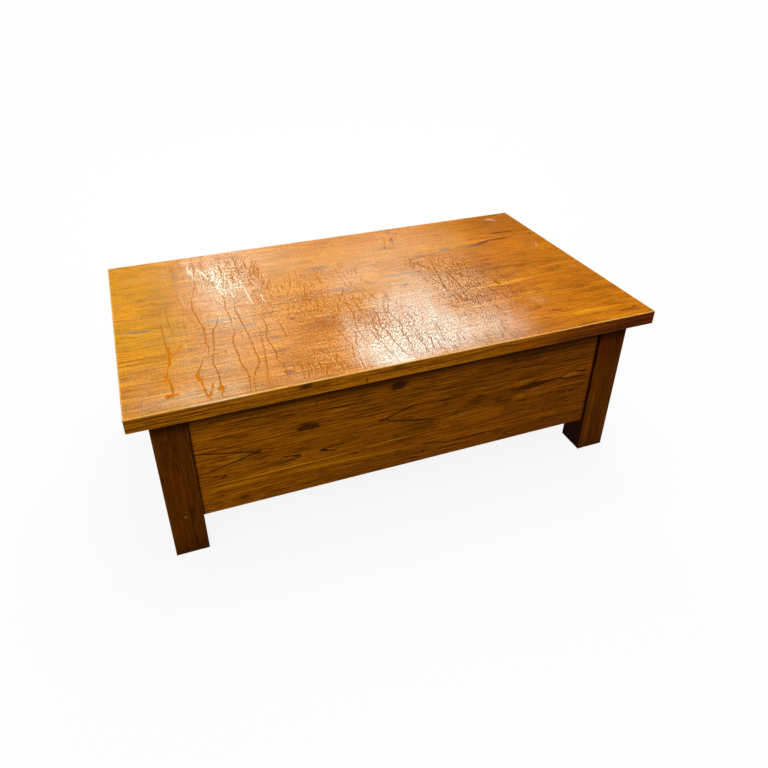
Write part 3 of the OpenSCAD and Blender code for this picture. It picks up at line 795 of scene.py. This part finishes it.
def smooth_run(points, step):
    """Points at about equal steps along a smooth curve through the given ones."""
    pts = [Vector((*p, 0.0)) for p in points]
    pts = [2 * pts[0] - pts[1]] + pts + [2 * pts[-1] - pts[-2]]
    run = []
    for a, b, c, d in zip(pts, pts[1:], pts[2:], pts[3:]):
        count = max(1, round((c - b).length / step))
        for k in range(count):
            t = k / count
            run.append(0.5 * (2 * b + (c - a) * t + (2 * a - 5 * b + 4 * c - d) * t**2
                              + (3 * b - a - 3 * c + d) * t**3))
    run.append(pts[-2])
    return run


def crazing(rng):
    """The fine cracks of the crazed zones, as (kind, width, points)."""
    cracks = []
    for kind, x0, x1, y0, y1, count, short, long, lean in CRAZED_ZONES:
        for _ in range(count):
            x = rng.uniform(x0, x1)
            y = rng.uniform(y0 + 0.3 * short, y1)
            left = rng.uniform(short, long)
            points = [(x, y)]
            while left > 0 and y > y0:
                step = rng.uniform(5.0, 11.0)
                x += rng.choice((-1, 1)) * rng.uniform(0.6, 3.4) - lean * step
                y -= step
                left -= step
                points.append((x, y))
            if len(points) > 1:
                cracks.append((kind, rng.uniform(0.42, FINE_WIDTH), points))
    return cracks


def cut_width(width, start, y):
    """The width at y to which a crack of a listed width is cut."""
    if width >= BROAD_WIDTH:
        return width
    growth = LEFT_CRACK_GROWTH if start[0] < LEFT_PART else CRACK_GROWTH
    if width < FINE_WIDTH:
        growth = CRACK_GROWTH * (1.25 + y / 1000)
        if MIDDLE_PART[0] < start[0] < MIDDLE_PART[1] and start[1] > MIDDLE_FRONT:
            growth *= MIDDLE_SHARE
    if start[0] > RIGHT_PART:
        growth *= RIGHT_SHARE
    return width * growth


def crack_runs():
    """Every crack as its kind and its run: a list of x, y, half width and the width of its lip."""
    rng = random.Random(CRACK_SEED)
    listed = [(DRIP if width > DRIP_WIDTH else DARK, width, points) for width, *points in DARK_CRACKS]
    listed += [(PALE, width, points) for width, *points in PALE_GLINT_CRACKS]
    runs = []
    for kind, width, points in listed + crazing(rng):
        line = smooth_run(points, CRACK_STEP)
        last = len(line) - 1
        phase = rng.uniform(0, 6.28)
        wiggle_share = 2.4 if kind == PALE and points[0][0] < LEFT_PART else 1.0
        run = []
        for k, p in enumerate(line):
            share = k / last
            taper = min(1.0, 4.0 * min(share, 1 - share) + 0.25)
            if width > DRIP_WIDTH:
                taper = math.sin(math.pi * (0.12 + 0.76 * share)) ** 0.6
            swell = 1.0 + 0.30 * math.sin(phase + k * 0.9) + rng.uniform(-0.12, 0.12)
            wiggle = rng.uniform(-0.7, 0.7) * wiggle_share if 0 < k < last else 0.0
            core = 0.5 * cut_width(width, points[0], p.y) * taper * swell
            run.append((p.x + wiggle, p.y, core, 0.5 + 1.1 * min(1.0, core)))
        runs.append((kind, run))
    return runs


def split_at(run, low, high):
    """The stretches of a run that lie between two lines of constant y."""
    stretches, now = [], []
    for a, b in zip(run, run[1:] + [None]):
        if low <= a[1] <= high:
            now.append(a)
        elif now:
            stretches.append(now)
            now = []
        if b is None:
            continue
        for line in sorted((low, high), reverse=a[1] > b[1]):
            if (a[1] - line) * (b[1] - line) < 0:
                t = (line - a[1]) / (b[1] - a[1])
                cut = tuple(p + (q - p) * t for p, q in zip(a, b))
                if now:
                    now.append(cut)
                    stretches.append(now)
                    now = []
                else:
                    now = [cut]
    if now:
        stretches.append(now)
    return [s for s in stretches if len(s) > 1 and abs(s[0][1] - s[-1][1]) + abs(s[0][0] - s[-1][0]) > 1.0]


def ribbon(run):
    """Five lines along a run: both outer edges of its lips, both edges of its core, and its middle."""
    lines = [[], [], [], [], []]
    for k, (x, y, core, lip) in enumerate(run):
        before, after = run[max(0, k - 1)], run[min(len(run) - 1, k + 1)]
        along = Vector((after[0] - before[0], after[1] - before[1]))
        across = Vector((-along.y, along.x)).normalized()
        for line, reach in zip(lines, (core + lip, core, 0.0, -core, -core - lip)):
            line.append((x + across.x * reach, y + across.y * reach))
    return lines


def crack_floor(points, segments):
    """How far the cracks lower each point, and the kind of crack in whose core it lies, or 0."""
    depth = np.zeros(len(points))
    kind = np.zeros(len(points), int)
    order = np.argsort(points[:, 0])
    sorted_x = points[order, 0]
    for (ax, ay, ac, al), (bx, by, bc, bl), which in segments:
        reach = max(ac + al, bc + bl)
        first = np.searchsorted(sorted_x, min(ax, bx) - reach)
        last = np.searchsorted(sorted_x, max(ax, bx) + reach)
        near = order[first:last]
        here = points[near] - (ax, ay)
        d = np.array((bx - ax, by - ay))
        t = np.clip((here @ d) / max(d @ d, 1e-9), 0, 1)
        away = np.linalg.norm(here - t[:, None] * d, axis=1)
        core = ac + (bc - ac) * t
        lip = al + (bl - al) * t
        drop = LIP_DROP * np.minimum(1.0, core / 0.4)
        deep = CORE_DEPTH * np.minimum(1.0, core / 0.5)
        inner = drop + deep * (1 - away / core)
        outer = drop * (1 - (away - core) / lip)
        low = np.where(away < core, inner, np.maximum(outer, 0.0))
        depth[near] = np.maximum(depth[near], low)
        kind[near] = np.where(away < 0.97 * core, which, kind[near])
    return depth, kind


def open_upper_face(bm):
    """Takes the upper face off a board and returns the vertices of its rim in order."""
    upper = [f for f in bm.faces if f.normal.z > 0.999 and abs(f.calc_center_median().z - TOP_FACE) < 1e-5]
    inside = [e for e in bm.edges if all(f in upper for f in e.link_faces)]
    rim = {e for f in upper for e in f.edges} - set(inside)
    loop = []
    vert = next(iter(rim)).verts[0]
    edge = None
    while len(loop) < len(rim):
        loop.append(vert)
        edge = next(e for e in vert.link_edges if e in rim and e is not edge)
        vert = edge.other_vert(vert)
    bmesh.ops.delete(bm, geom=upper, context="FACES_ONLY")
    for e in inside:
        bm.edges.remove(e)
    return loop


def fill_upper_face(bm, loop, runs):
    """A new upper face inside the rim, lowered along the cracks that cross this board."""
    points = [(v.co.x / MM, v.co.y / MM) for v in loop]
    count = len(points)
    edges = [(k, (k + 1) % count) for k in range(count)]
    low = min(p[1] for p in points) + SEAM_MARGIN
    high = max(p[1] for p in points) - SEAM_MARGIN
    segments = []
    for kind, run in runs:
        for part in split_at(run, low, high):
            starts = []
            for line in ribbon(part):
                starts.append(len(points))
                points.extend((x, min(max(y, low), high)) for x, y in line)
                edges.extend((starts[-1] + k, starts[-1] + k + 1) for k in range(len(line) - 1))
            last = len(part) - 1
            edges.extend((starts[k] + end, starts[k + 1] + end) for k in range(4) for end in (0, last))
            segments.extend((a, b, kind) for a, b in zip(part, part[1:]))
    flat = delaunay_2d_cdt([Vector(p) for p in points], edges, [], 1, 1e-4)
    spots, triangles, origins = flat[0], flat[2], flat[3]
    place = np.array([(p.x, p.y) for p in spots])
    depth, _ = crack_floor(place, segments)
    depth[(place[:, 1] < low + 0.01) | (place[:, 1] > high - 0.01)] = 0.0
    rim_verts = set(loop)
    verts = []
    for k, p in enumerate(spots):
        own = [o for o in origins[k] if o < count]
        if own:
            verts.append(loop[own[0]])
        else:
            verts.append(bm.verts.new((p.x * MM, p.y * MM, TOP_FACE - float(depth[k]) * MM)))
    centres = np.array([place[list(t)].mean(axis=0) for t in triangles])
    _, kind = crack_floor(centres, segments)
    for k, triangle in enumerate(triangles):
        corners = [verts[c] for c in triangle]
        if len(set(corners)) < 3:
            continue
        made = bm.faces.new(corners)
        made.smooth = False
        made.material_index = 0 if rim_verts & set(corners) else int(kind[k])


def cracked_board(index, runs):
    """A board of the top with its upper face opened by the cracks in the lacquer."""
    name = f"top_board_{index + 1}"
    mesh = nodes[name].data.copy()
    if "custom_normal" in mesh.attributes:
        mesh.attributes.remove(mesh.attributes["custom_normal"])
    mesh.name = name + "_cracked"
    bm = bmesh.new()
    bm.from_mesh(mesh)
    bmesh.ops.remove_doubles(bm, verts=bm.verts, dist=1e-6)
    fill_upper_face(bm, open_upper_face(bm), runs)
    bmesh.ops.recalc_face_normals(bm, faces=bm.faces)
    mesh.materials.clear()
    for material in (top_material(index), CRACK_DARK, CRACK_PALE_GLINT, top_material(index, True), CRACK_DRIP):
        mesh.materials.append(material)
    for f in bm.faces:
        if f.calc_center_median().z < TOP_FACE - ARRIS_DROP:
            f.material_index = SIDES
    bm.to_mesh(mesh)
    bm.free()
    board = bpy.data.objects.new(name + "_lacquered", mesh)
    scene.collection.objects.link(board)
    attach(board, "root")
    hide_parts(name)


all_runs = crack_runs()
for board_index in range(len(BOARDS)):
    cracked_board(board_index, all_runs)


# Panels: staves that run lengthwise, each with its own figure
PANEL_LIGHT = (0.560, 0.175, 0.0035)
PANEL_MIDDLE = (0.340, 0.103, 0.0020)
PANEL_DARK = (0.110, 0.028, 0.0010)
DARK_FIGURE = (0.030, 0.0070, 0.0006)
ARCH_FIGURE = (0.034, 0.008, 0.0006)
PALE_FIGURE = (0.620, 0.240, 0.0040)
UNSTAINED = (0.34, 0.15, 0.045)
WARM_SHINE = (1.0, 0.62, 0.30)

# Marks at least this half wide, in mm, have a looser outline
BROAD_MARK = 6
ROW_EDGES = (96, 133, 171, 211, 267, 325, 383)

# Front staves: seed, side and depth of the pith (mm), spacing, sway (m), brightness
FRONT_STAVES = {
    "front_stave_1": (1.7, 60, 20, 0.0062, 0.020, 0.92),
    "front_stave_2": (2.3, 128, 30, 0.0060, 0.024, 1.03),
    "front_stave_3_left": (3.1, 100, 18, 0.0060, 0.012, 1.00),
    "front_stave_3_middle": (4.6, 260, 20, 0.0058, 0.014, 1.22),
    "front_stave_3_right": (5.2, 150, 24, 0.0056, 0.016, 1.00),
    "front_stave_4_left": (6.4, 330, 40, 0.0060, 0.012, 1.00),
    "front_stave_4_right": (7.9, 300, 16, 0.0056, 0.018, 1.18),
    "front_stave_5": (8.3, 230, 30, 0.0070, 0.026, 1.00),
    "front_stave_6": (9.1, 300, 34, 0.0072, 0.022, 0.92),
}

# Arched figure on two front staves, in mm: the place of its point (x, z), how fast it opens above and
# below and how its branches bow out, the end that it opens to, half width, reach and strength
ARCHES = {
    "front_stave_4_left": (
        (-361, 236.0, 1.3, 1.35, 0.035, -1, 2.7, 140, 1.4),
        (-322, 236.0, 0.8, 2.0, 0.02, -1, 2.0, 55, 0.8),
        (-60, 243.0, 4.6, 3.4, 0.010, 1, 3.0, 170, 1.3),
    ),
    "front_stave_3_left": (
        (-263, 199.0, 0.4, 1.0, 0.035, -1, 2.4, 52, 1.4),
        (-214, 199.0, 0.3, 1.0, 0.030, 1, 2.4, 40, 1.4),
        (-428, 191.0, 0.8, 0.8, 0.02, -1, 2.0, 70, 0.8),
    ),
}

# Marks on the front panel, in mm: x, z, then as on the top
FRONT_DARK = (
    (-31, 330, 30, 17, 0.8), (-33, 325, 15, 7, 0.5), (-220, 328, 3, 9, 0.6), (-280, 313, 24, 2.2, 0.9),
    (-300, 312.5, 40, 1.6, 0.5), (-430, 294, 30, 2, 0.9, 2), (-360, 297, 60, 1.5, 0.4, 2),
    (-427, 270, 12, 2, 0.7), (-240, 278, 38, 17, 0.5), (-242, 270, 34, 8, 0.95),
    (-160, 306, 60, 1.8, 0.8, -2), (-352, 236, 12, 8, 0.75), (-70, 243, 12, 7, 0.6),
    (-272, 199.5, 12, 2.4, 1.0), (-212, 199, 10, 2.6, 1.0), (-198, 194.5, 14, 2, 0.9, -18),
    (-430, 191, 6, 3, 0.8), (-455, 192, 30, 1.5, 0.4, 2), (-413, 161, 7, 2.5, 0.8),
    (-395, 117, 36, 17, 0.45), (-410, 147, 90, 1.6, 0.7), (-270, 145, 80, 1.6, 0.8, -1),
    (-130, 138, 70, 1.8, 0.8, -6), (33, 123, 8, 5, 0.55), (60, 142, 48, 2, 0.9, -9),
    (150, 133, 60, 2, 0.9, -3), (20, 309, 30, 2, 0.7, -6), (223, 306, 66, 2, 0.7),
    (330, 302, 40, 2, 0.8, -6), (425, 295.5, 56, 2.2, 0.9, -3), (250, 173.5, 40, 1.8, 0.8),
    (36, 196, 44, 17, 0.25), (170, 236, 44, 16, 0.38), (308, 245, 64, 12, 0.95, 2),
    (360, 248, 46, 5, 1.0, 2), (406, 254.5, 24, 3.0, 1.0, 20), (452, 256, 38, 3.0, 1.0, -9),
    (404, 245, 24, 3.0, 1.0, -12), (450, 241, 44, 3.0, 1.0, -2), (335, 262, 60, 2.5, 0.6, 2),
    (392, 272, 32, 2.5, 0.7, 6), (450, 274.5, 40, 2.6, 0.8), (95, 261, 60, 2, 0.8, 3),
    (242, 180, 2.5, 7, 0.8), (358, 159, 4, 8, 0.5, 10), (425, 200, 60, 6, 0.4), (400, 178, 70, 2, 0.5),
    (320, 335, 180, 24, 0.35),
)
FRONT_PALE = (
    (-395, 240, 38, 9, 0.28, 3), (-170, 299, 36, 3, 0.7), (-240, 160, 230, 10, 0.25),
    (-300, 172, 190, 4, 0.8), (-60, 178, 120, 2, 0.8, 1), (-420, 160, 90, 5, 0.5),
    (-140, 152, 200, 5, 0.5, -2), (-60, 178, 70, 1.8, 0.7, 3), (90, 308, 40, 2.5, 0.6, 1),
    (40, 276, 70, 4, 0.4), (155, 193, 80, 2.4, 0.7, -1), (120, 204, 50, 6, 0.4),
    (300, 262, 40, 3, 0.7, 4), (390, 270, 60, 2.6, 0.8, 6), (426, 251, 32, 6, 0.9),
    (76, 191, 1.8, 20, 0.5), (160, 209, 90, 3, 0.6), (285, 222, 24, 10, 0.5), (243, 193, 3, 6, 0.5),
    (423, 196, 3, 12, 0.5), (100, 128, 90, 3, 0.5, -3), (-420, 225, 60, 12, 0.3),
    (-250, 245, 100, 16, 0.2),
)

# How an object's place is read as (along the grain, across it, inward from the face)
AXES = {
    "front": ("x", "z", ("y", 1, PANEL_FRONT)),
    "back": ("x", "z", ("y", -1, PANEL_FRONT)),
    "left": ("y", "z", ("x", 1, PANEL_END)),
    "right": ("y", "z", ("x", -1, PANEL_END)),
}


def grain_place(g, side):
    place = object_place(g)
    parts = dict(zip("xyz", g.split(place)))
    along, across, (depth_axis, sign, offset) = AXES[side]
    inward = g.muladd(parts[depth_axis], float(sign), offset)
    return place, parts[along], parts[across], inward


def arches(g, along, across, listed):
    total = 0.0
    for x0, z0, up, down, bow, opens, half, reach, strength in listed:
        out = g.mul(g.sub(along, x0 * MM), float(opens))
        rise = g.sub(across, z0 * MM)
        above = g.math("GREATER_THAN", rise, 0.0)
        opening = g.muladd(above, (up - down) * MM, down * MM)
        steep = g.div(rise, opening)
        bowed = g.muladd(out, bow / MM, 1.0)
        beyond = g.absolute(g.sub(g.mul(rise, steep), g.mul(out, bowed)))
        pull = g.muladd(out, 2 * bow / MM, 1.0)
        slant = g.root(g.muladd(g.mul(steep, steep), 4.0, g.mul(pull, pull)))
        line = g.ease(g.div(beyond, slant), 0.0, half * MM, 1.0, 0.0)
        fade = g.mul(g.ease(out, 0.6 * reach * MM, reach * MM, strength, 0.0), g.ease(out, -0.003, -0.001))
        total = g.muladd(line, fade, total)
    return total


def front_marks(g, name, colour, along, across, span):
    """The knots, dark streaks, pale streaks and arched figure that show on a front stave."""
    face = g.join(along, across, 0.0)
    wander = g.wander(face, 70.0, (0.018, 0.0024, 0.0))
    marked = g.vector("ADD", face, wander)
    loose = g.vector("ADD", face, g.vector("MULTIPLY", wander, (1.4, 5.0, 0.0)))
    low, high = span
    for marks, stain, share in ((FRONT_DARK, DARK_FIGURE, 0.85), (FRONT_PALE, PALE_FIGURE, 0.70)):
        near = [m for m in marks if low - m[3] - 10 < m[1] < high + m[3] + 10]
        narrow = g.marks(marked, [m for m in near if m[3] < BROAD_MARK])
        broad = g.marks(loose, [m for m in near if m[3] >= BROAD_MARK])
        colour = g.mix(g.ease(g.add(narrow, broad), 0.0, 0.55, 0.0, share), colour, stain)
    if name in ARCHES:
        bent = g.split(g.vector("ADD", face, g.vector("MULTIPLY", wander, (0.3, 0.5, 0.0))))
        drawn = g.math("MULTIPLY", arches(g, bent[0], bent[1], ARCHES[name]), 0.85, clamp=True)
        colour = g.mix(drawn, colour, ARCH_FIGURE)
    return colour


def satin(g, place):
    """The roughness of the lacquer on the panels and legs."""
    return g.muladd(g.noise(place, (25.0, 25.0, 25.0), 2.0), 0.16, 0.34)


def panel_material(name, side, seed, pith, depth, spacing, sway, bright, span):
    material, g = new_material(name + "_wood")
    place, along, across, inward = grain_place(g, side)
    read = g.join(along, across, inward)
    parts = figure(g, read, seed, pith * MM, depth * MM, spacing, sway)
    parts["tone"] = g.muladd(parts["tone"], 0.62, 0.22)
    colour = stained(g, parts, (PANEL_LIGHT, PANEL_MIDDLE, PANEL_DARK), 0.55, 2.70, 0.60)
    colour = g.shade(bright, colour)
    if side == "front":
        colour = front_marks(g, name, colour, along, across, span)
        # Painted light: brighter at the panel's left end and darker towards the right, where it is also
        # tinted redder
        colour = g.shade(g.ease(along, -0.55, 0.55, 1.38, 0.95), colour)
        colour = g.tint(g.ease(along, -0.20, 0.45), colour, (1.0, 0.88, 0.80))

    # Painted shade: darker close under the top's overhang and in the corners beside the legs
    colour = g.shade(g.ease(across, 0.328, 0.352, 1.0, 0.20), colour)
    end = LEG_END - LEG_W if side in ("front", "back") else LEG_SIDE - LEG_W
    to_leg = g.sub(end, g.absolute(along))
    colour = g.shade(g.ease(to_leg, 0.0005, 0.0055, 0.25, 1.0), colour)

    # The seam between two staves: a thin dark line of glue and dust, and above it a painted highlight along
    # the stave's edge
    low, high = span
    above_seam = g.sub(across, low * MM)
    to_seam = g.lower(above_seam, g.sub(high * MM, across))
    colour = g.shade(g.ease(to_seam, 0.0002, 0.0011, 0.55, 1.0), colour)
    lit = g.mul(g.ease(above_seam, 0.0008, 0.0016), g.ease(above_seam, 0.0022, 0.0036, 1.0, 0.0))
    lit = g.mul(lit, g.ease(g.noise(read, (5.0, 3.0, 1.0), 2.0), 0.40, 0.60))
    colour = g.shade(g.muladd(lit, 0.55, 1.0), colour)

    # The inner face was left without stain
    back_face = g.ease(inward, 0.0192, 0.0198)
    colour = g.mix(g.mul(back_face, 0.6), colour, UNSTAINED)
    surface(g, colour, parts["height"], 0.25, satin(g, place), 0.015, WARM_SHINE, distance=0.0005)
    return material


for stave, (seed, pith, depth, spacing, sway, bright) in FRONT_STAVES.items():
    row = int(stave.split("_")[2]) - 1
    span = (ROW_EDGES[row], ROW_EDGES[row + 1])
    made = panel_material(stave, "front", seed, pith, depth, spacing, sway, bright, span)
    dress(nodes[stave], made)

# The three other panels, whose figure is drawn by chance
SIDE_SEED = 7
side_rng = random.Random(SIDE_SEED)
for side in ("back", "left", "right"):
    for row in range(6):
        stave = f"{side}_stave_{row + 1}"
        span = (ROW_EDGES[row], ROW_EDGES[row + 1])
        seed = side_rng.uniform(11, 60)
        pith = span[0] + side_rng.uniform(-60, 90)
        depth = side_rng.uniform(14, 44)
        spacing = side_rng.uniform(0.0050, 0.0075)
        sway = side_rng.uniform(0.014, 0.034)
        bright = side_rng.uniform(0.93, 1.10)
        made = panel_material(stave, side, seed, pith, depth, spacing, sway, bright, span)
        dress(nodes[stave], made)


# Legs: upright grain, glued from two thicknesses
LEG_LIGHT = (0.230, 0.068, 0.0014)
LEG_MIDDLE = (0.155, 0.040, 0.0010)
LEG_DARK = (0.060, 0.014, 0.0006)
RUBBED = (0.36, 0.130, 0.012)
NICK = (0.42, 0.22, 0.08)

# Filters of painted shade: on a leg's inner side, and darker and redder on the right legs' upper part
INNER_SHADE_FILTER = (0.22, 0.135, 0.08)
RED_SHADE_FILTER = (0.90, 0.66, 0.65)

# Each leg: seed, sides in x and y, where its two thicknesses meet, ring spacing (m), brightness
LEGS = {
    "leg_front_left": (12.4, -1, -1, 0.62, 0.0052, 1.00),
    "leg_front_right": (14.9, 1, -1, 0.36, 0.0056, 1.22),
    "leg_back_left": (17.1, -1, 1, 0.55, 0.0060, 1.05),
    "leg_back_right": (19.8, 1, 1, 0.45, 0.0050, 1.08),
}


def leg_material(name, seed, x_sign, y_sign, glue_share, spacing, bright):
    material, g = new_material(name + "_wood")
    place = object_place(g)
    x, y, z = g.split(place)
    left = x_sign * (LEG_END - LEG_W / 2) - LEG_W / 2
    glue_x = left + glue_share * LEG_W
    second = g.math("GREATER_THAN", x, glue_x)
    read = g.join(z, x, g.muladd(y, float(-y_sign), LEG_SIDE))
    turned_seed = g.muladd(second, 3.3, seed)
    pith = g.muladd(second, 0.09, left - 0.05)
    parts = figure(g, read, turned_seed, pith, 0.03, spacing, 0.014)
    parts["tone"] = g.muladd(parts["tone"], 0.60, 0.22)
    colour = stained(g, parts, (LEG_LIGHT, LEG_MIDDLE, LEG_DARK), 0.40, 1.70, 0.45)
    colour = g.shade(g.muladd(second, -0.10 * bright, bright), colour)
    glue = g.ease(g.absolute(g.sub(x, glue_x)), 0.0, 0.0007, 0.62, 1.0)
    colour = g.shade(glue, colour)

    # Rubbed arrises, darker towards the foot, and painted shade close under the top
    from_middle_x = g.absolute(g.sub(x, left + LEG_W / 2))
    from_middle_y = g.absolute(g.sub(y, y_sign * (LEG_SIDE - LEG_W / 2)))
    nearer = g.lower(from_middle_x, from_middle_y)
    worn = g.ease(nearer, LEG_W / 2 - 0.0030, LEG_W / 2 - 0.0008)
    rubbed = g.ease(g.noise(place, (40.0, 40.0, 14.0), 3.0), 0.42, 0.70)
    colour = g.mix(g.mul(g.mul(worn, rubbed), 0.55), colour, RUBBED)
    colour = g.shade(g.ease(z, 0.0, 0.05, 0.72, 1.0), colour)
    colour = g.shade(g.ease(z, 0.325, 0.357, 1.0, 0.30), colour)
    # Painted shade on the leg's inner side, darker and redder on the upper part of the right legs
    on_inner = g.math("LESS_THAN", g.mul(x, float(x_sign)), LEG_END - LEG_W + 0.0006)
    colour = g.tint(on_inner, colour, INNER_SHADE_FILTER)
    if x_sign > 0:
        colour = g.tint(g.ease(z, 0.24, 0.33), colour, RED_SHADE_FILTER)
    if name == "leg_front_left":
        nick = g.marks(g.join(x, z, 0.0), ((-526, 110, 3.5, 4.5, 1.0, 20),))
        colour = g.mix(g.ease(nick, 0.1, 0.6, 0.0, 0.75), colour, NICK)
    surface(g, colour, parts["height"], 0.25, satin(g, place), 0.006, WARM_SHINE, distance=0.0005)
    return material


for leg, values in LEGS.items():
    dress(nodes[leg], leg_material(leg, *values))


# Hidden wood: rails, corner blocks and buttons, sawn and left without stain
INNER_COLOURS = ((0.56, 0.34, 0.150), (0.46, 0.26, 0.105), (0.30, 0.155, 0.055))


def inner_material(name, order, seed):
    material, g = new_material(name + "_wood")
    place = object_place(g)
    parts_xyz = dict(zip("xyz", g.split(place)))
    read = g.join(*(parts_xyz[a] for a in order))
    parts = figure(g, read, seed, 0.3, 0.05, 0.0058, 0.02)
    colour = stained(g, parts, INNER_COLOURS, 0.40, 0.30, 0.30)
    saw = g.noise(place, (220.0, 220.0, 220.0), 1.0)
    height = g.muladd(saw, 0.4, parts["height"])
    rough = g.muladd(saw, 0.12, 0.58)
    surface(g, colour, height, 0.35, rough, 0.25, distance=0.0005)
    return material


for name, order, seed in (
    ("cross_rail_left", "yxz", 21.0),
    ("cross_rail_right", "yxz", 22.7),
    ("corner_block_front_left", "zxy", 24.1),
    ("corner_block_front_right", "zxy", 25.9),
    ("corner_block_back_left", "zxy", 27.3),
    ("corner_block_back_right", "zxy", 28.8),
    ("top_buttons", "xyz", 30.2),
):
    dress(nodes[name], inner_material(name, order, seed))


def screw_material():
    material, g = new_material("screw_steel")
    place = object_place(g)
    turned = g.noise(place, (900.0, 900.0, 900.0), 2.0)
    dull = g.noise(place, (120.0, 120.0, 120.0), 3.0)
    colour = g.mix(g.ease(dull, 0.40, 0.70), (0.52, 0.50, 0.46), (0.30, 0.27, 0.22))
    rough = g.muladd(turned, 0.20, 0.26)
    surface(g, colour, turned, 0.15, rough, 0.5, metallic=1.0, distance=0.0002)
    return material


steel = screw_material()
for name in ("button_screws", "rail_screws", "corner_block_screws"):
    dress(nodes[name], steel)


# Floor, lamps and world
FLOOR_REACH = 40.0


def looked_at(g):
    """1 for what the camera sees, straight, mirrored or through glass, and 0 for light on the table."""
    path = g.node("LightPath").outputs
    through = g.higher(path["Is Glossy Ray"], path["Is Transmission Ray"])
    return g.higher(path["Is Camera Ray"], through)


def make_floor():
    mesh = bpy.data.meshes.new("floor")
    corners = [(x * FLOOR_REACH, y * FLOOR_REACH, 0) for x, y in ((-1, -1), (1, -1), (1, 1), (-1, 1))]
    mesh.from_pydata(corners, [], [(0, 1, 2, 3)])
    floor = bpy.data.objects.new("floor", mesh)
    scene.collection.objects.link(floor)
    material, g = new_material("floor_white")
    paint = g.node("BsdfDiffuse", {"Color": (0.32, 0.32, 0.32)})
    seen_paint = g.node("BsdfDiffuse", {"Color": (0.85, 0.85, 0.85)})
    white = g.node("Emission", {"Color": (1, 1, 1), "Strength": 1.0})
    x, y, _ = g.split(object_place(g))
    away = g.root(g.muladd(x, x, g.mul(y, y)))
    share = g.ease(away, 0.9, 3.5, 0.90, 0.98)
    seen = g.node("MixShader", {0: share, 1: seen_paint.outputs[0], 2: white.outputs[0]})
    both = g.node("MixShader", {0: looked_at(g), 1: paint.outputs[0], 2: seen.outputs[0]})
    output = g.node("OutputMaterial")
    g.tree.links.new(both.outputs[0], output.inputs[0])
    mesh.materials.append(material)


make_floor()


def make_world():
    """A sky that lights from high up, and that the camera sees as pale near the horizon."""
    world = bpy.data.worlds.new("studio")
    scene.world = world
    world.use_nodes = True
    g = Graph(world.node_tree)
    upward = g.split(g.node("TexCoord").outputs["Generated"])[2]
    light = g.ease(upward, 0.45, 1.0, 0.10, 1.1)
    pale = g.ease(upward, 0.0, 0.20, 0.9, 0.0)
    background = world.node_tree.nodes["Background"].inputs
    g.feed(background["Color"], (1.0, 0.985, 0.96))
    g.feed(background["Strength"], g.muladd(pale, looked_at(g), light))


make_world()


def make_lamp(name, place, aim, width, height, radiance, colour):
    """A soft rectangular lamp. Its power follows from its area and the radiance of its face."""
    data = bpy.data.lights.new(name, "AREA")
    data.shape = "RECTANGLE"
    data.size = width
    data.size_y = height
    data.energy = radiance * width * height * math.pi
    data.color = colour
    lamp = bpy.data.objects.new(name, data)
    place, aim = Vector(place), Vector(aim)
    lamp.rotation_euler = (aim - place).to_track_quat("-Z", "Y").to_euler()
    lamp.location = place
    lamp.visible_camera = False
    scene.collection.objects.link(lamp)


def window(name, azimuth, elevation, distance, width, height, radiance, colour):
    """A lamp that the top mirrors to the camera from this azimuth and elevation, in degrees."""
    a = math.radians(azimuth)
    e = math.radians(elevation)
    start = Vector((EYE.x, EYE.y, 2 * TOP_FACE - EYE.z))
    place = start + distance * Vector((math.sin(a), math.cos(a), math.tan(e)))
    aim = Vector((0.0, 0.0, TOP_FACE))
    make_lamp(name, place, aim, width, height, radiance, colour)


window("wall", 14.0, 27.0, 4.6, 1.7, 1.8, 1.5, (1.0, 0.92, 0.76))
window("window_middle", 24.0, 35.4, 4.4, 0.62, 0.84, 15.0, (1.0, 0.98, 0.95))
window("window_left", 6.6, 24.4, 4.4, 0.38, 0.50, 13.0, (1.0, 0.96, 0.88))
window("window_right", 29.5, 32.5, 4.4, 0.45, 0.60, 3.5, (1.0, 0.98, 0.95))
make_lamp("overhead", (0.2, 0.3, 2.6), (0.0, 0.0, 0.4), 2.4, 2.0, 1.85, (1.0, 0.97, 0.92))
make_lamp("front_fill", (-1.7, -2.6, 1.9), (-0.3, 0.0, 0.2), 1.6, 1.2, 3.6, (1.0, 0.96, 0.90))

scene.view_settings.view_transform = "Standard"
